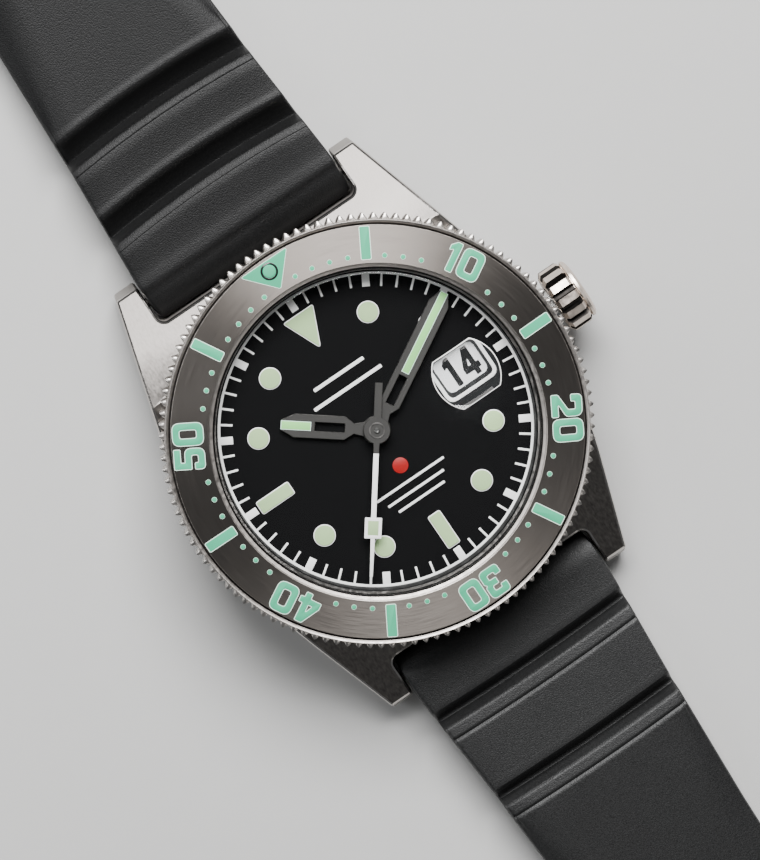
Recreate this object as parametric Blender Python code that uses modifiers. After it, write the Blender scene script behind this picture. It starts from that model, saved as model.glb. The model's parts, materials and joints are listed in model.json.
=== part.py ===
"""Automatic dive watch on a rubber strap, laid out open with its dial up.

Every piece is one object. The origin is the centre of the flat face of the case back, on the
axis of the hands. +Z comes out of the dial, +Y points to 12 o'clock and +X to the crown at 3.
"""

from math import acos, asin, atan2, cos, degrees, hypot, pi, radians, sin

import bmesh
import bpy
from mathutils import Matrix, Vector

MM = 0.001
FILL_SCALE = 1000.0  # outlines are filled at this size, where the filler's tolerances are harmless
WELD = 1e-6
ROUND = 48  # sides of the large turned rings
SMALL_ROUND = 16  # sides of pins, tubes and screws

# Case and bezel
CASE_R = 19.5 * MM
CASE_LOW = 0.9 * MM
CASE_TOP = 8.35 * MM
CASE_BORE_R = 15.65 * MM
CASE_THREAD_R = 15.9 * MM
CASE_END_Y = 19.3 * MM  # straight wall between the lugs
LUG_IN_X = 11.15 * MM
LUG_OUT_X = 13.5 * MM
LUG_TIP_Y = 23.4 * MM  # upper edge of the end face
LUG_FOOT_Y = 23.9 * MM  # lower edge of the end face
LUG_TIP_Z = 3.7 * MM
LUG_BREAK_Y = 13.5 * MM  # where the sloping top of a lug starts
LUG_CORNER_R = 0.7 * MM
NECK_IN_R = 15.85 * MM
NECK_OUT_R = 16.9 * MM
NECK_TOP = 10.6 * MM
BACK_R = 17.2 * MM
BACK_FLANGE = 1.25 * MM
BACK_FLOOR = 0.95 * MM
BEZEL_R = 20.5 * MM  # over the teeth
BEZEL_BODY_R = 19.9 * MM
BEZEL_TEETH = 120
BEZEL_LOW = 8.55 * MM
BEZEL_TOP = 11.6 * MM
INSERT_IN_R = 15.9 * MM
INSERT_OUT_R = 19.45 * MM
INSERT_SEAT = 10.9 * MM
PIP_R = 0.6 * MM
PIP_DIST = 17.3 * MM

# Crystal and dial
CRYSTAL_R = 15.3 * MM
CRYSTAL_LOW = 10.15 * MM
CRYSTAL_TOP = 12.2 * MM
LEDGE_IN_R = 15.15 * MM
LENS_X = 9.9 * MM
LENS_LENGTH = 6.3 * MM
LENS_WIDTH = 5.3 * MM
LENS_HEIGHT = 0.75 * MM
LENS_BOW_R = 3.6 * MM
DIAL_R = 15.2 * MM
DIAL_LOW = 8.1 * MM
DIAL_TOP = 8.5 * MM
DATE_X = 9.9 * MM
DATE_SIZE = (3.3 * MM, 2.6 * MM)

# Crown and stem, on an axis along +X
STEM_Z = 5.4 * MM
CROWN_R = 3.25 * MM
CROWN_IN_X = 20.65 * MM
CROWN_OUT_X = 23.7 * MM
CROWN_FLUTES = 14
TUBE_R = 1.5 * MM
TUBE_OUT_X = 21.7 * MM
STEM_R = 0.6 * MM
PINION_X = (9.2 * MM, 10.3 * MM)
CLUTCH_X = (7.4 * MM, 9.0 * MM)

# Movement: heights of its layers, and where its arbors stand
MOVEMENT_R = 12.9 * MM
PLATE_Z = (5.7 * MM, 6.6 * MM)
BRIDGE_Z = (2.45 * MM, 3.2 * MM)
THIRD_AT = (4.42 * MM, radians(135))
ESCAPE_AT = (3.9 * MM, radians(228))
FORK_AT = (6.15 * MM, radians(228))
BALANCE_AT = (8.3 * MM, radians(228))
BARREL_AT = (6.16 * MM, radians(60))
CROWN_WHEEL_X = 7.30 * MM
MINUTE_WHEEL_AT = (3.84 * MM, radians(200))
ROTOR_R = 12.5 * MM
SECONDS_ANGLE = 216.3
MINUTE_ANGLE = 61.0
HOUR_ANGLE = 307.5
HOUR_HAND_Z = (8.85 * MM, 9.03 * MM)
MINUTE_HAND_Z = (9.25 * MM, 9.42 * MM)
SECONDS_HAND_Z = (9.65 * MM, 9.77 * MM)

# Strap and buckle
BAR_Y = 21.6 * MM  # spring bars, from the centre
BAR_Z = 2.9 * MM
BAR_R = 0.85 * MM
BAR_BORE_R = 0.95 * MM
STRAP_TUBE_R = 2.1 * MM
STRAP_HALF_WIDTHS = ((19.0, 10.0), (20.8, 10.85), (35.0, 10.2), (50.0, 9.5), (72.0, 9.0))  # (y, half width)
STRAP_THICK = 2.6 * MM
# A cross groove of the strap, as (distance from its middle, height) in millimetres
GROOVE = ((-1.9, 4.85), (-1.4, 4.95), (-0.5, 4.2), (0.5, 4.15), (1.4, 4.9), (1.9, 4.75))
KEEPER_CLEAR = 1.25 * MM  # height at which the buckle end of the strap rides over its keepers
BUCKLE_Y = 96.6 * MM
BUCKLE_Z = 2.55 * MM
BUCKLE_BAR_R = 0.7 * MM
BUCKLE_BORE_R = 0.8 * MM
BUCKLE_REACH = 9.6 * MM
FRAME_HALF_WIDTH = 11.2 * MM
FRAME_WALL = 1.7 * MM
FRAME_THICK = 2.2 * MM
TAIL_Y = 140.0 * MM
TAIL_HOLES = 7
TAIL_HOLE_PITCH = 6.5 * MM

COLOURS = {
    "titanium": ((0.42, 0.40, 0.38), 0.38, 1.0),
    "dark_titanium": ((0.20, 0.19, 0.18), 0.35, 1.0),
    "steel": ((0.62, 0.61, 0.60), 0.22, 1.0),
    "brass": ((0.72, 0.55, 0.28), 0.3, 1.0),
    "rhodium": ((0.66, 0.66, 0.64), 0.3, 1.0),
    "blued_steel": ((0.08, 0.12, 0.30), 0.3, 1.0),
    "hand_grey": ((0.20, 0.20, 0.20), 0.3, 1.0),
    "white_paint": ((0.9, 0.9, 0.88), 0.5, 0.0),
    "dial_black": ((0.012, 0.012, 0.013), 0.45, 0.0),
    "black_plastic": ((0.02, 0.02, 0.02), 0.5, 0.0),
    "nitrile": ((0.03, 0.03, 0.03), 0.7, 0.0),
    "rubber": ((0.035, 0.036, 0.038), 0.75, 0.0),
    "sapphire": ((0.9, 0.95, 1.0), 0.02, 0.0),
    "mint_lume": ((0.37, 0.75, 0.56), 0.5, 0.0),
}


# Scene, materials and joining


def clear_scene():
    for obj in list(bpy.data.objects):
        bpy.data.objects.remove(obj, do_unlink=True)


def collection(name, hidden=False):
    made = bpy.data.collections.new(name)
    made.hide_render = hidden
    bpy.context.scene.collection.children.link(made)
    return made


def material(name):
    if name in bpy.data.materials:
        return bpy.data.materials[name]
    colour, roughness, metallic = COLOURS[name]
    made = bpy.data.materials.new(name)
    made.use_nodes = True
    shader = made.node_tree.nodes["Principled BSDF"]
    shader.inputs["Base Color"].default_value = (*colour, 1.0)
    shader.inputs["Roughness"].default_value = roughness
    shader.inputs["Metallic"].default_value = metallic
    if name == "sapphire":
        shader.inputs["Alpha"].default_value = 0.25
    return made


def place(name, mesh, finish=None, at=(0, 0, 0), angle=0.0):
    """An object of this mesh among the parts, or among the cutters if it has no finish."""
    obj = bpy.data.objects.new(name, mesh)
    obj.location = at
    obj.rotation_euler.z = angle
    if finish is None:
        CUTTERS.objects.link(obj)
        obj.hide_render = True
        obj.display_type = "WIRE"
    else:
        PARTS.objects.link(obj)
        mesh.materials.append(material(finish))
    return obj


def boolean(obj, other, operation="DIFFERENCE"):
    modifier = obj.modifiers.new(other.name, "BOOLEAN")
    modifier.operation = operation
    modifier.object = other
    modifier.solver = "EXACT"
    return obj


def around(obj, x, y, z=0.0):
    """Moves the origin of an object that is drawn about the watch's origin, and leaves its mesh there."""
    obj.data.transform(Matrix.Translation((-x, -y, -z)))
    obj.location = (x, y, z)
    return obj


def polar(place_at):
    distance, angle = place_at
    return distance * cos(angle), distance * sin(angle)


# Shapes


def circle(radius, steps=SMALL_ROUND, at=(0, 0), start=0.0):
    turns = (start + 2 * pi * i / steps for i in range(steps))
    return [(at[0] + radius * cos(a), at[1] + radius * sin(a)) for a in turns]


def arc(at, radius, start, end, steps):
    """Points from one angle in degrees to another, both ends included."""
    turns = (radians(start + (end - start) * i / steps) for i in range(steps + 1))
    return [(at[0] + radius * cos(a), at[1] + radius * sin(a)) for a in turns]


def box_loop(x_low, x_high, y_low, y_high):
    return [(x_low, y_low), (x_high, y_low), (x_high, y_high), (x_low, y_high)]


def rounded_box(half_x, half_y, radius, at=(0, 0), steps=3):
    points = []
    for quarter, (side_x, side_y) in enumerate(((1, 1), (-1, 1), (-1, -1), (1, -1))):
        middle = (at[0] + side_x * (half_x - radius), at[1] + side_y * (half_y - radius))
        points += arc(middle, radius, 90 * quarter, 90 * quarter + 90, steps)
    return points


def teeth(count, radius, module, tooth_at=0.0, at=(0, 0)):
    """A gear's outline: one tip and one root for each tooth, with a tip at the angle tooth_at."""
    points = []
    for i in range(2 * count):
        reach = radius + (0.75 * module if i % 2 == 0 else -0.95 * module)
        angle = tooth_at + pi * i / count
        points.append((at[0] + reach * cos(angle), at[1] + reach * sin(angle)))
    return points


def prism(name, loops, low, high):
    """A mesh between two heights, filled between its outer loop and any loops inside it."""
    curve = bpy.data.curves.new(name, "CURVE")
    curve.dimensions = "2D"
    curve.fill_mode = "BOTH"
    curve.extrude = FILL_SCALE * (high - low) / 2
    for loop in loops:
        spline = curve.splines.new("POLY")
        spline.points.add(len(loop) - 1)
        for point, (x, y) in zip(spline.points, loop):
            point.co = (FILL_SCALE * x, FILL_SCALE * y, 0, 1)
        spline.use_cyclic_u = True
    guide = bpy.data.objects.new(name, curve)
    bpy.context.scene.collection.objects.link(guide)
    bpy.context.view_layer.update()
    graph = bpy.context.evaluated_depsgraph_get()
    mesh = bpy.data.meshes.new_from_object(guide.evaluated_get(graph))
    bpy.data.objects.remove(guide, do_unlink=True)
    bpy.data.curves.remove(curve)
    mesh.transform(Matrix.Scale(1 / FILL_SCALE, 4))
    mesh.transform(Matrix.Translation((0, 0, (low + high) / 2)))
    welded = bmesh.new()
    welded.from_mesh(mesh)
    bmesh.ops.remove_doubles(welded, verts=welded.verts, dist=WELD)
    bmesh.ops.recalc_face_normals(welded, faces=welded.faces)
    welded.to_mesh(mesh)
    welded.free()
    return mesh


def side_prism(name, loops, half_width):
    """A prism whose outline is drawn in (y, z) and that runs along X."""
    mesh = prism(name, loops, -half_width, half_width)
    mesh.transform(Matrix(((0, 0, 1, 0), (1, 0, 0, 0), (0, 1, 0, 0), (0, 0, 0, 1))))
    return mesh


def turned(name, profile, finish=None, steps=ROUND, closed=True, at=(0, 0, 0)):
    """A turned shape: (radius, height) points down its outer side, with a Screw about Z."""
    mesh = bpy.data.meshes.new(name)
    profile_mesh = bmesh.new()
    points = [profile_mesh.verts.new((r, 0, z)) for r, z in profile]
    pairs = list(zip(points, points[1:]))
    if closed:
        pairs.append((points[-1], points[0]))
    for pair in pairs:
        profile_mesh.edges.new(pair)
    profile_mesh.to_mesh(mesh)
    profile_mesh.free()
    obj = place(name, mesh, finish, at)
    screw = obj.modifiers.new("Screw", "SCREW")
    screw.axis = "Z"
    screw.angle = 2 * pi
    screw.steps = steps
    screw.render_steps = steps
    screw.use_merge_vertices = True
    screw.merge_threshold = WELD
    screw.use_smooth_shade = True
    return obj


def ring(name, inner, outer, low, high, finish=None, steps=ROUND, at=(0, 0, 0)):
    profile = [(outer, high), (outer, low), (inner, low), (inner, high)]
    return turned(name, profile, finish, steps, True, at)


def disc(name, radius, low, high, finish=None, steps=ROUND, at=(0, 0, 0)):
    profile = [(0, high), (radius, high), (radius, low), (0, low)]
    return turned(name, profile, finish, steps, False, at)


def rod(name, radius, start, end, finish=None, steps=SMALL_ROUND):
    """A cylinder along X between two points, with the second at the first's y and z."""
    mesh = bpy.data.meshes.new(name)
    shape = bmesh.new()
    length = end[0] - start[0]
    bmesh.ops.create_cone(
        shape, cap_ends=True, segments=steps, radius1=radius, radius2=radius, depth=length
    )
    shape.to_mesh(mesh)
    shape.free()
    mesh.transform(Matrix.Rotation(pi / 2, 4, "Y"))
    return place(name, mesh, finish, ((start[0] + end[0]) / 2, start[1], start[2]))


def block(name, low, high, finish=None):
    loops = [box_loop(low[0], high[0], low[1], high[1])]
    return place(name, prism(name, loops, low[2], high[2]), finish)


# Case


def case_outline():
    """The case from above: a round body whose sides run on, as tangents, to the four lugs."""
    tip = (LUG_OUT_X, LUG_TIP_Y)
    lean = atan2(tip[1], tip[0]) - acos(CASE_R / hypot(*tip))
    slope = Vector((-sin(lean), cos(lean)))
    foot = Vector(tip) + slope * ((LUG_FOOT_Y - LUG_TIP_Y) / slope.y)
    corner = (LUG_IN_X - LUG_CORNER_R, CASE_END_Y + LUG_CORNER_R)
    quarter = arc((0, 0), CASE_R, 0, degrees(lean), 2)
    quarter += [tuple(foot), (LUG_IN_X, LUG_FOOT_Y)]
    quarter += [(LUG_IN_X, corner[1])] + arc(corner, LUG_CORNER_R, -30, -90, 2)
    top = quarter + [(-x, y) for x, y in reversed(quarter)][:-1]
    return top + [(-x, -y) for x, y in top[:1]] + [(x, -y) for x, y in reversed(top[1:])]


def case_side():
    """The case from the crown side, in (y, z): lugs that slope down to a leaning end face."""
    half = [
        (LUG_BREAK_Y, CASE_TOP),
        (LUG_TIP_Y, LUG_TIP_Z),
        (LUG_FOOT_Y, 1.1 * MM),
        (LUG_FOOT_Y - 0.6 * MM, 0.6 * MM),
        (18.0 * MM, CASE_LOW),
    ]
    return half + [(-y, z) for y, z in reversed(half)]


def make_case():
    case = place("case_middle", prism("case_middle", [case_outline()], 0, CASE_TOP), "titanium")
    sides = place("case_side_cut", side_prism("case_side_cut", [case_side()], 25 * MM))
    boolean(case, sides, "INTERSECT")
    neck = ring("case_neck", CASE_BORE_R + 0.5 * MM, NECK_OUT_R, CASE_TOP - 1 * MM, NECK_TOP)
    boolean(case, neck, "UNION")
    ledge = CRYSTAL_LOW - 0.1 * MM
    bore = [
        (NECK_IN_R, NECK_TOP + 1 * MM),
        (NECK_IN_R, ledge),
        (LEDGE_IN_R, ledge),
        (LEDGE_IN_R, ledge - 0.4 * MM),
        (CASE_BORE_R, ledge - 0.4 * MM),
        (CASE_BORE_R, 2.4 * MM),
        (CASE_THREAD_R, 2.4 * MM),
        (CASE_THREAD_R, BACK_FLANGE + 0.15 * MM),
        (BACK_R + 0.1 * MM, BACK_FLANGE + 0.15 * MM),
        (BACK_R + 0.1 * MM, 0),
        (0, 0),
    ]
    boolean(case, turned("case_bore", [(0, NECK_TOP + 1 * MM)] + bore, closed=False))
    tube_hole = rod("tube_hole", TUBE_R + 0.08 * MM, (14 * MM, 0, STEM_Z), (22 * MM, 0, STEM_Z))
    boolean(case, tube_hole)
    for side in (-1, 1):
        start = (-LUG_IN_X - 1.3 * MM, side * BAR_Y, BAR_Z)
        end = (LUG_IN_X + 1.3 * MM, side * BAR_Y, BAR_Z)
        boolean(case, rod("lug_holes", 0.6 * MM, start, end, steps=8))


def make_back():
    profile = [
        (0, BACK_FLOOR),
        (14.6 * MM, BACK_FLOOR),
        (14.6 * MM, 2.2 * MM),
        (15.7 * MM, 2.2 * MM),
        (15.7 * MM, BACK_FLANGE),
        (BACK_R, BACK_FLANGE),
        (BACK_R, 0.4 * MM),
        (BACK_R - 0.4 * MM, 0),
        (0, 0),
    ]
    back = turned("case_back", profile, "titanium", closed=False)
    for i in range(6):
        loops = [box_loop(-0.9 * MM, 0.9 * MM, 16 * MM, 18 * MM)]
        mesh = prism("wrench_slot", loops, -1 * MM, 0.6 * MM)
        notch = place("wrench_slot", mesh, angle=pi / 3 * i)
        boolean(back, notch)


def make_seals():
    ring("case_back_gasket", 16.05 * MM, 16.9 * MM, 1.28 * MM, 1.37 * MM, "nitrile", 24)
    inner = CRYSTAL_R + 0.06 * MM
    outer = NECK_IN_R - 0.06 * MM
    ring("crystal_gasket", inner, outer, CRYSTAL_LOW, 11.3 * MM, "black_plastic")
    ring("bezel_gasket", NECK_OUT_R + 0.2 * MM, 17.4 * MM, 9.3 * MM, 9.8 * MM, "nitrile", 24)


def make_crystal():
    rim = 0.5 * MM
    profile = [
        (0, CRYSTAL_TOP),
        (CRYSTAL_R - rim, CRYSTAL_TOP),
        (CRYSTAL_R, CRYSTAL_TOP - rim),
        (CRYSTAL_R, CRYSTAL_LOW),
        (0, CRYSTAL_LOW),
    ]
    turned("crystal", profile, "sapphire", closed=False)


def lens_outline():
    """The magnifier from above: straight long sides and bowed ends."""
    reach = degrees(asin(LENS_WIDTH / 2 / LENS_BOW_R))
    right = arc((LENS_X + LENS_LENGTH / 2 - LENS_BOW_R, 0), LENS_BOW_R, -reach, reach, 6)
    return right + [(2 * LENS_X - x, -y) for x, y in right]


def make_magnifier():
    low = CRYSTAL_TOP + 0.03 * MM
    mesh = prism("date_magnifier", [lens_outline()], low, low + LENS_HEIGHT)
    lens = place("date_magnifier", mesh, "sapphire")
    around(lens, LENS_X, 0, low)
    bevel = lens.modifiers.new("Edge", "BEVEL")
    bevel.width = 0.3 * MM
    bevel.segments = 1
    bevel.limit_method = "ANGLE"
    bevel.angle_limit = radians(60)


def make_rehaut():
    profile = [
        (LEDGE_IN_R - 0.05 * MM, CRYSTAL_LOW - 0.1 * MM),
        (LEDGE_IN_R - 0.05 * MM, 9.55 * MM),
        (CASE_BORE_R - 0.1 * MM, 9.55 * MM),
        (CASE_BORE_R - 0.1 * MM, DIAL_TOP + 0.05 * MM),
        (14.85 * MM, DIAL_TOP + 0.05 * MM),
    ]
    turned("rehaut_ring", profile, "black_plastic")


def make_dial():
    window = rounded_box(DATE_SIZE[0] / 2, DATE_SIZE[1] / 2, 0.4 * MM, (DATE_X, 0), 2)
    loops = [circle(DIAL_R, ROUND), window, circle(1.3 * MM, 12)]
    place("dial", prism("dial", loops, DIAL_LOW, DIAL_TOP), "dial_black")


def make_bezel():
    """The toothed grip ring with its raised rim, then the engraved insert and the pip at zero."""
    grip = teeth(BEZEL_TEETH, BEZEL_R - 0.25 * MM, 0.333 * MM, radians(90))
    mesh = prism("bezel_ring", [grip, circle(18.5 * MM, ROUND)], BEZEL_LOW + 0.3 * MM, 10.6 * MM)
    bezel = place("bezel_ring", mesh, "titanium")
    body = [
        (BEZEL_BODY_R - 0.35 * MM, BEZEL_TOP),
        (BEZEL_BODY_R, BEZEL_TOP - 0.3 * MM),
        (BEZEL_BODY_R, BEZEL_LOW),
        (17.5 * MM, BEZEL_LOW),
        (17.5 * MM, 10.7 * MM),
        (INSERT_IN_R + 0.1 * MM, 10.7 * MM),
        (INSERT_IN_R + 0.1 * MM, INSERT_SEAT),
        (INSERT_OUT_R + 0.07 * MM, INSERT_SEAT),
        (INSERT_OUT_R + 0.07 * MM, BEZEL_TOP),
    ]
    boolean(bezel, turned("bezel_body", body), "UNION")
    low = INSERT_SEAT + 0.05 * MM
    insert = [
        (INSERT_OUT_R, 11.45 * MM),
        (INSERT_OUT_R, low),
        (INSERT_IN_R, low),
        (INSERT_IN_R, 11.75 * MM),
    ]
    plate = turned("bezel_insert", insert, "dark_titanium")
    hole = disc("pip_hole", PIP_R + 0.08 * MM, 10 * MM, 13 * MM, steps=12, at=(0, PIP_DIST, 0))
    boolean(plate, hole)
    disc("bezel_pip", PIP_R, low, 11.72 * MM, "mint_lume", 12, (0, PIP_DIST, 0))
    spring = arc((0, 0), 19.2 * MM, 95, 170, 8) + arc((0, 0), 18.5 * MM, 170, 95, 8)
    place("bezel_click_spring", prism("bezel_click_spring", [spring], 8.39 * MM, 8.5 * MM), "steel")


# Crown and winding works


def along_x(obj):
    """Stands an object that is drawn about Z on the stem's axis, with its +Z along +X."""
    obj.rotation_euler = (0, pi / 2, 0)
    obj.location = (0, 0, STEM_Z)
    return obj


def make_crown():
    flutes = []
    for i in range(CROWN_FLUTES):
        middle = 360 / CROWN_FLUTES * i
        flutes += arc((0, 0), CROWN_R, middle - 8, middle + 8, 1)
        groove = radians(middle + 180 / CROWN_FLUTES)
        flutes.append(((CROWN_R - 0.4 * MM) * cos(groove), (CROWN_R - 0.4 * MM) * sin(groove)))
    mesh = prism("crown", [flutes], CROWN_IN_X, CROWN_OUT_X)
    crown = along_x(place("crown", mesh, "titanium"))
    shape = [
        (0, CROWN_OUT_X),
        (CROWN_R - 0.9 * MM, CROWN_OUT_X),
        (CROWN_R + 0.1 * MM, CROWN_OUT_X - 0.7 * MM),
        (CROWN_R + 0.1 * MM, CROWN_IN_X + 0.3 * MM),
        (CROWN_R - 0.3 * MM, CROWN_IN_X),
        (TUBE_R + 0.35 * MM, CROWN_IN_X),
        (TUBE_R + 0.35 * MM, TUBE_OUT_X + 0.3 * MM),
        (0, TUBE_OUT_X + 0.3 * MM),
    ]
    boolean(crown, along_x(turned("crown_shape", shape, closed=False, steps=28)), "INTERSECT")
    seal = ring(
        "crown_gasket", TUBE_R + 0.06 * MM, TUBE_R + 0.29 * MM, 21.0 * MM, 21.4 * MM, "nitrile", 16
    )
    along_x(seal)
    tube = ring("crown_tube", 0.9 * MM, TUBE_R, 15.8 * MM, TUBE_OUT_X, "steel", SMALL_ROUND)
    along_x(tube)


def make_stem():
    """The stem, square where the clutch slides on it, with the winding pinion turning round it."""
    crown_end = TUBE_OUT_X + 0.25 * MM
    stem = [
        (0, crown_end),
        (STEM_R, crown_end),
        (STEM_R, PINION_X[0] - 0.1 * MM),
        (0.4 * MM, PINION_X[0] - 0.1 * MM),
        (0.4 * MM, 6.9 * MM),
        (0.22 * MM, 6.9 * MM),
        (0.22 * MM, 6.2 * MM),
        (0, 6.2 * MM),
    ]
    along_x(turned("winding_stem", stem, "steel", 12, closed=False))
    loops = [teeth(14, 1.3 * MM, 0.2 * MM), circle(STEM_R + 0.06 * MM, 12)]
    along_x(place("winding_pinion", prism("winding_pinion", loops, *PINION_X), "steel"))
    groove = (CLUTCH_X[0] + 0.5 * MM, CLUTCH_X[0] + 0.9 * MM)
    clutch = [
        (1.05 * MM, CLUTCH_X[1]),
        (1.05 * MM, groove[1]),
        (0.8 * MM, groove[1]),
        (0.8 * MM, groove[0]),
        (1.05 * MM, groove[0]),
        (1.05 * MM, CLUTCH_X[0]),
        (0.46 * MM, CLUTCH_X[0]),
        (0.46 * MM, CLUTCH_X[1]),
    ]
    along_x(turned("sliding_clutch", clutch, "steel", 12))


def make_winding_wheels():
    x, y = polar(BARREL_AT)
    to_barrel = atan2(y, x - CROWN_WHEEL_X)
    loops = [teeth(32, 3.2 * MM, 0.2 * MM, to_barrel, (CROWN_WHEEL_X, 0))]
    loops.append(circle(0.5 * MM, 8, (CROWN_WHEEL_X, 0)))
    wheel = place("crown_wheel", prism("crown_wheel", loops, 3.35 * MM, 3.85 * MM), "steel")
    around(wheel, CROWN_WHEEL_X, 0, 3.35 * MM)
    loops = [teeth(36, 3.6 * MM, 0.2 * MM, to_barrel + pi + pi / 36, (x, y))]
    loops.append(circle(0.5 * MM, 8, (x, y)))
    ratchet = place("ratchet_wheel", prism("ratchet_wheel", loops, 3.35 * MM, 3.55 * MM), "steel")
    around(ratchet, x, y, 3.35 * MM)


# Movement


def arbor(name, obj, radius, low, high, at=(0, 0), bore=0.0):
    """Joins an arbor to a wheel: a post of this radius between two heights, bored if a bore is given."""
    if bore:
        post = ring(name, bore, radius, low, high, steps=12, at=(*at, 0))
    else:
        post = disc(name, radius, low, high, steps=8, at=(*at, 0))
    return boolean(obj, post, "UNION")


def train_wheel(name, at, wheel, pinion, post, finish="brass", bore=0.0):
    """A wheel and its pinion on one arbor: each is (teeth, radius, module, low, high, tooth_at)."""
    obj = None
    for label, gear in (("wheel", wheel), ("pinion", pinion)):
        count, radius, module, low, high, tooth_at = gear
        loops = [teeth(count, radius, module, tooth_at)]
        if bore:
            loops.append(circle((bore + post[0]) / 2, 12))
        mesh = prism(name + "_" + label, loops, low, high)
        if obj is None:
            obj = place(name, mesh, finish, (*at, 0))
        else:
            boolean(obj, place(name + "_" + label, mesh, at=(*at, 0)), "UNION")
    return arbor(name + "_arbor", obj, *post, at, bore)


def make_going_train():
    third = polar(THIRD_AT)
    escape = polar(ESCAPE_AT)
    barrel = polar(BARREL_AT)
    gap = THIRD_AT[1] + pi
    train_wheel(
        "center_wheel",
        (0, 0),
        (60, 3.9 * MM, 0.13 * MM, 4.6 * MM, 4.8 * MM, THIRD_AT[1]),
        (11, 0.88 * MM, 0.16 * MM, 4.78 * MM, 5.45 * MM, BARREL_AT[1] + pi / 11),
        (0.55 * MM, 4.7 * MM, 7.9 * MM),
        bore=0.3 * MM,
    )
    train_wheel(
        "third_wheel",
        third,
        (64, 3.93 * MM, 0.1228 * MM, 4.1 * MM, 4.3 * MM, gap),
        (8, 0.52 * MM, 0.13 * MM, 4.25 * MM, 4.95 * MM, gap + pi / 8),
        (0.2 * MM, 3.45 * MM, 5.6 * MM),
    )
    train_wheel(
        "fourth_wheel",
        (0, 0),
        (72, 3.6 * MM, 0.1 * MM, 3.6 * MM, 3.8 * MM, ESCAPE_AT[1]),
        (8, 0.49 * MM, 0.1228 * MM, 3.75 * MM, 4.45 * MM, THIRD_AT[1] + pi / 8),
        (0.2 * MM, 3.4 * MM, 9.6 * MM),
    )
    train_wheel(
        "escape_wheel",
        escape,
        (15, 1.75 * MM, 0.3 * MM, 4.38 * MM, 4.5 * MM, ESCAPE_AT[1]),
        (6, 0.3 * MM, 0.1 * MM, 3.5 * MM, 4.1 * MM, ESCAPE_AT[1] + pi + pi / 6),
        (0.13 * MM, 3.4 * MM, 4.52 * MM),
    )
    drum = [
        (5.0 * MM, 6.3 * MM),
        (5.0 * MM, 4.95 * MM),
        (0.75 * MM, 4.95 * MM),
        (0.75 * MM, 5.15 * MM),
        (4.75 * MM, 5.15 * MM),
        (4.75 * MM, 6.3 * MM),
    ]
    loops = [teeth(66, 5.28 * MM, 0.16 * MM, BARREL_AT[1] + pi), circle(4.9 * MM, 24)]
    mesh = prism("mainspring_barrel", loops, 5.0 * MM, 5.3 * MM)
    cup = place("mainspring_barrel", mesh, "brass", (*barrel, 0))
    boolean(cup, turned("barrel_drum", drum, steps=24, at=(*barrel, 0)), "UNION")
    shaft = disc("barrel_arbor", 0.42 * MM, 3.3 * MM, 6.5 * MM, "steel", 12, (*barrel, 0))
    core = disc("arbor_core", 1.1 * MM, 5.25 * MM, 6.2 * MM, steps=12, at=(*barrel, 0))
    boolean(shaft, core, "UNION")


def spiral(inner, outer, turns, width, points_per_turn):
    """The outline of a flat spiral strip: out along one edge and back along the other."""
    count = int(turns * points_per_turn)
    edges = ([], [])
    for i in range(count + 1):
        angle = 2 * pi * turns * i / count
        radius = inner + (outer - inner) * i / count
        for edge, offset in zip(edges, (width / 2, -width / 2)):
            edge.append(((radius + offset) * cos(angle), (radius + offset) * sin(angle)))
    return edges[0] + edges[1][::-1]


def make_springs():
    strip = spiral(1.5 * MM, 4.5 * MM, 5, 0.16 * MM, 12)
    mesh = prism("mainspring", [strip], 5.25 * MM, 6.2 * MM)
    place("mainspring", mesh, "steel", (*polar(BARREL_AT), 0))
    strip = spiral(0.6 * MM, 2.6 * MM, 5, 0.06 * MM, 10)
    mesh = prism("hairspring", [strip], 5.25 * MM, 5.4 * MM)
    place("hairspring", mesh, "blued_steel", (*polar(BALANCE_AT), 0))


def make_escapement():
    """The lever with its two pallets over the escape wheel, then the balance."""
    x, y = polar(FORK_AT)
    to_escape = FORK_AT[0] - ESCAPE_AT[0]
    inner = arc((-to_escape, 0), 2.05 * MM, 42, -42, 8)
    outer = arc((-to_escape, 0), 2.35 * MM, -42, -8, 4)
    horn = [(1.5, 0), (1.8, 0.12), (1.8, 0.35), (1.45, 0.25)]
    horns = [(x, -y) for x, y in reversed(horn[1:])] + horn
    lever = inner + outer + [(x * MM, y * MM) for x, y in horns]
    lever += arc((-to_escape, 0), 2.35 * MM, 8, 42, 4)
    fork = place("pallet_fork", prism("pallet_fork", [lever], 4.36 * MM, 4.52 * MM), "steel")
    fork.location = (x, y, 0)
    fork.rotation_euler.z = FORK_AT[1]
    arbor("fork_arbor", fork, 0.12 * MM, 3.4 * MM, 4.5 * MM, (x, y))
    x, y = polar(BALANCE_AT)
    loops = [circle(3.85 * MM, 32)]
    for start in (100, 280):
        window = arc((0, 0), 3.3 * MM, start, start + 160, 8)
        loops.append(window + arc((0, 0), 0.9 * MM, start + 150, start + 10, 4))
    wheel = place("balance_wheel", prism("balance_wheel", loops, 4.75 * MM, 5.1 * MM), "brass")
    wheel.location = (x, y, 0)
    arbor("balance_staff", wheel, 0.15 * MM, 3.3 * MM, 5.6 * MM, (x, y))
    arbor("balance_roller", wheel, 0.8 * MM, 4.65 * MM, 5.0 * MM, (x, y))


def sector(inner, outer, start, end, steps):
    return arc((0, 0), outer, start, end, steps) + arc((0, 0), inner, end, start, steps)


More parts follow.
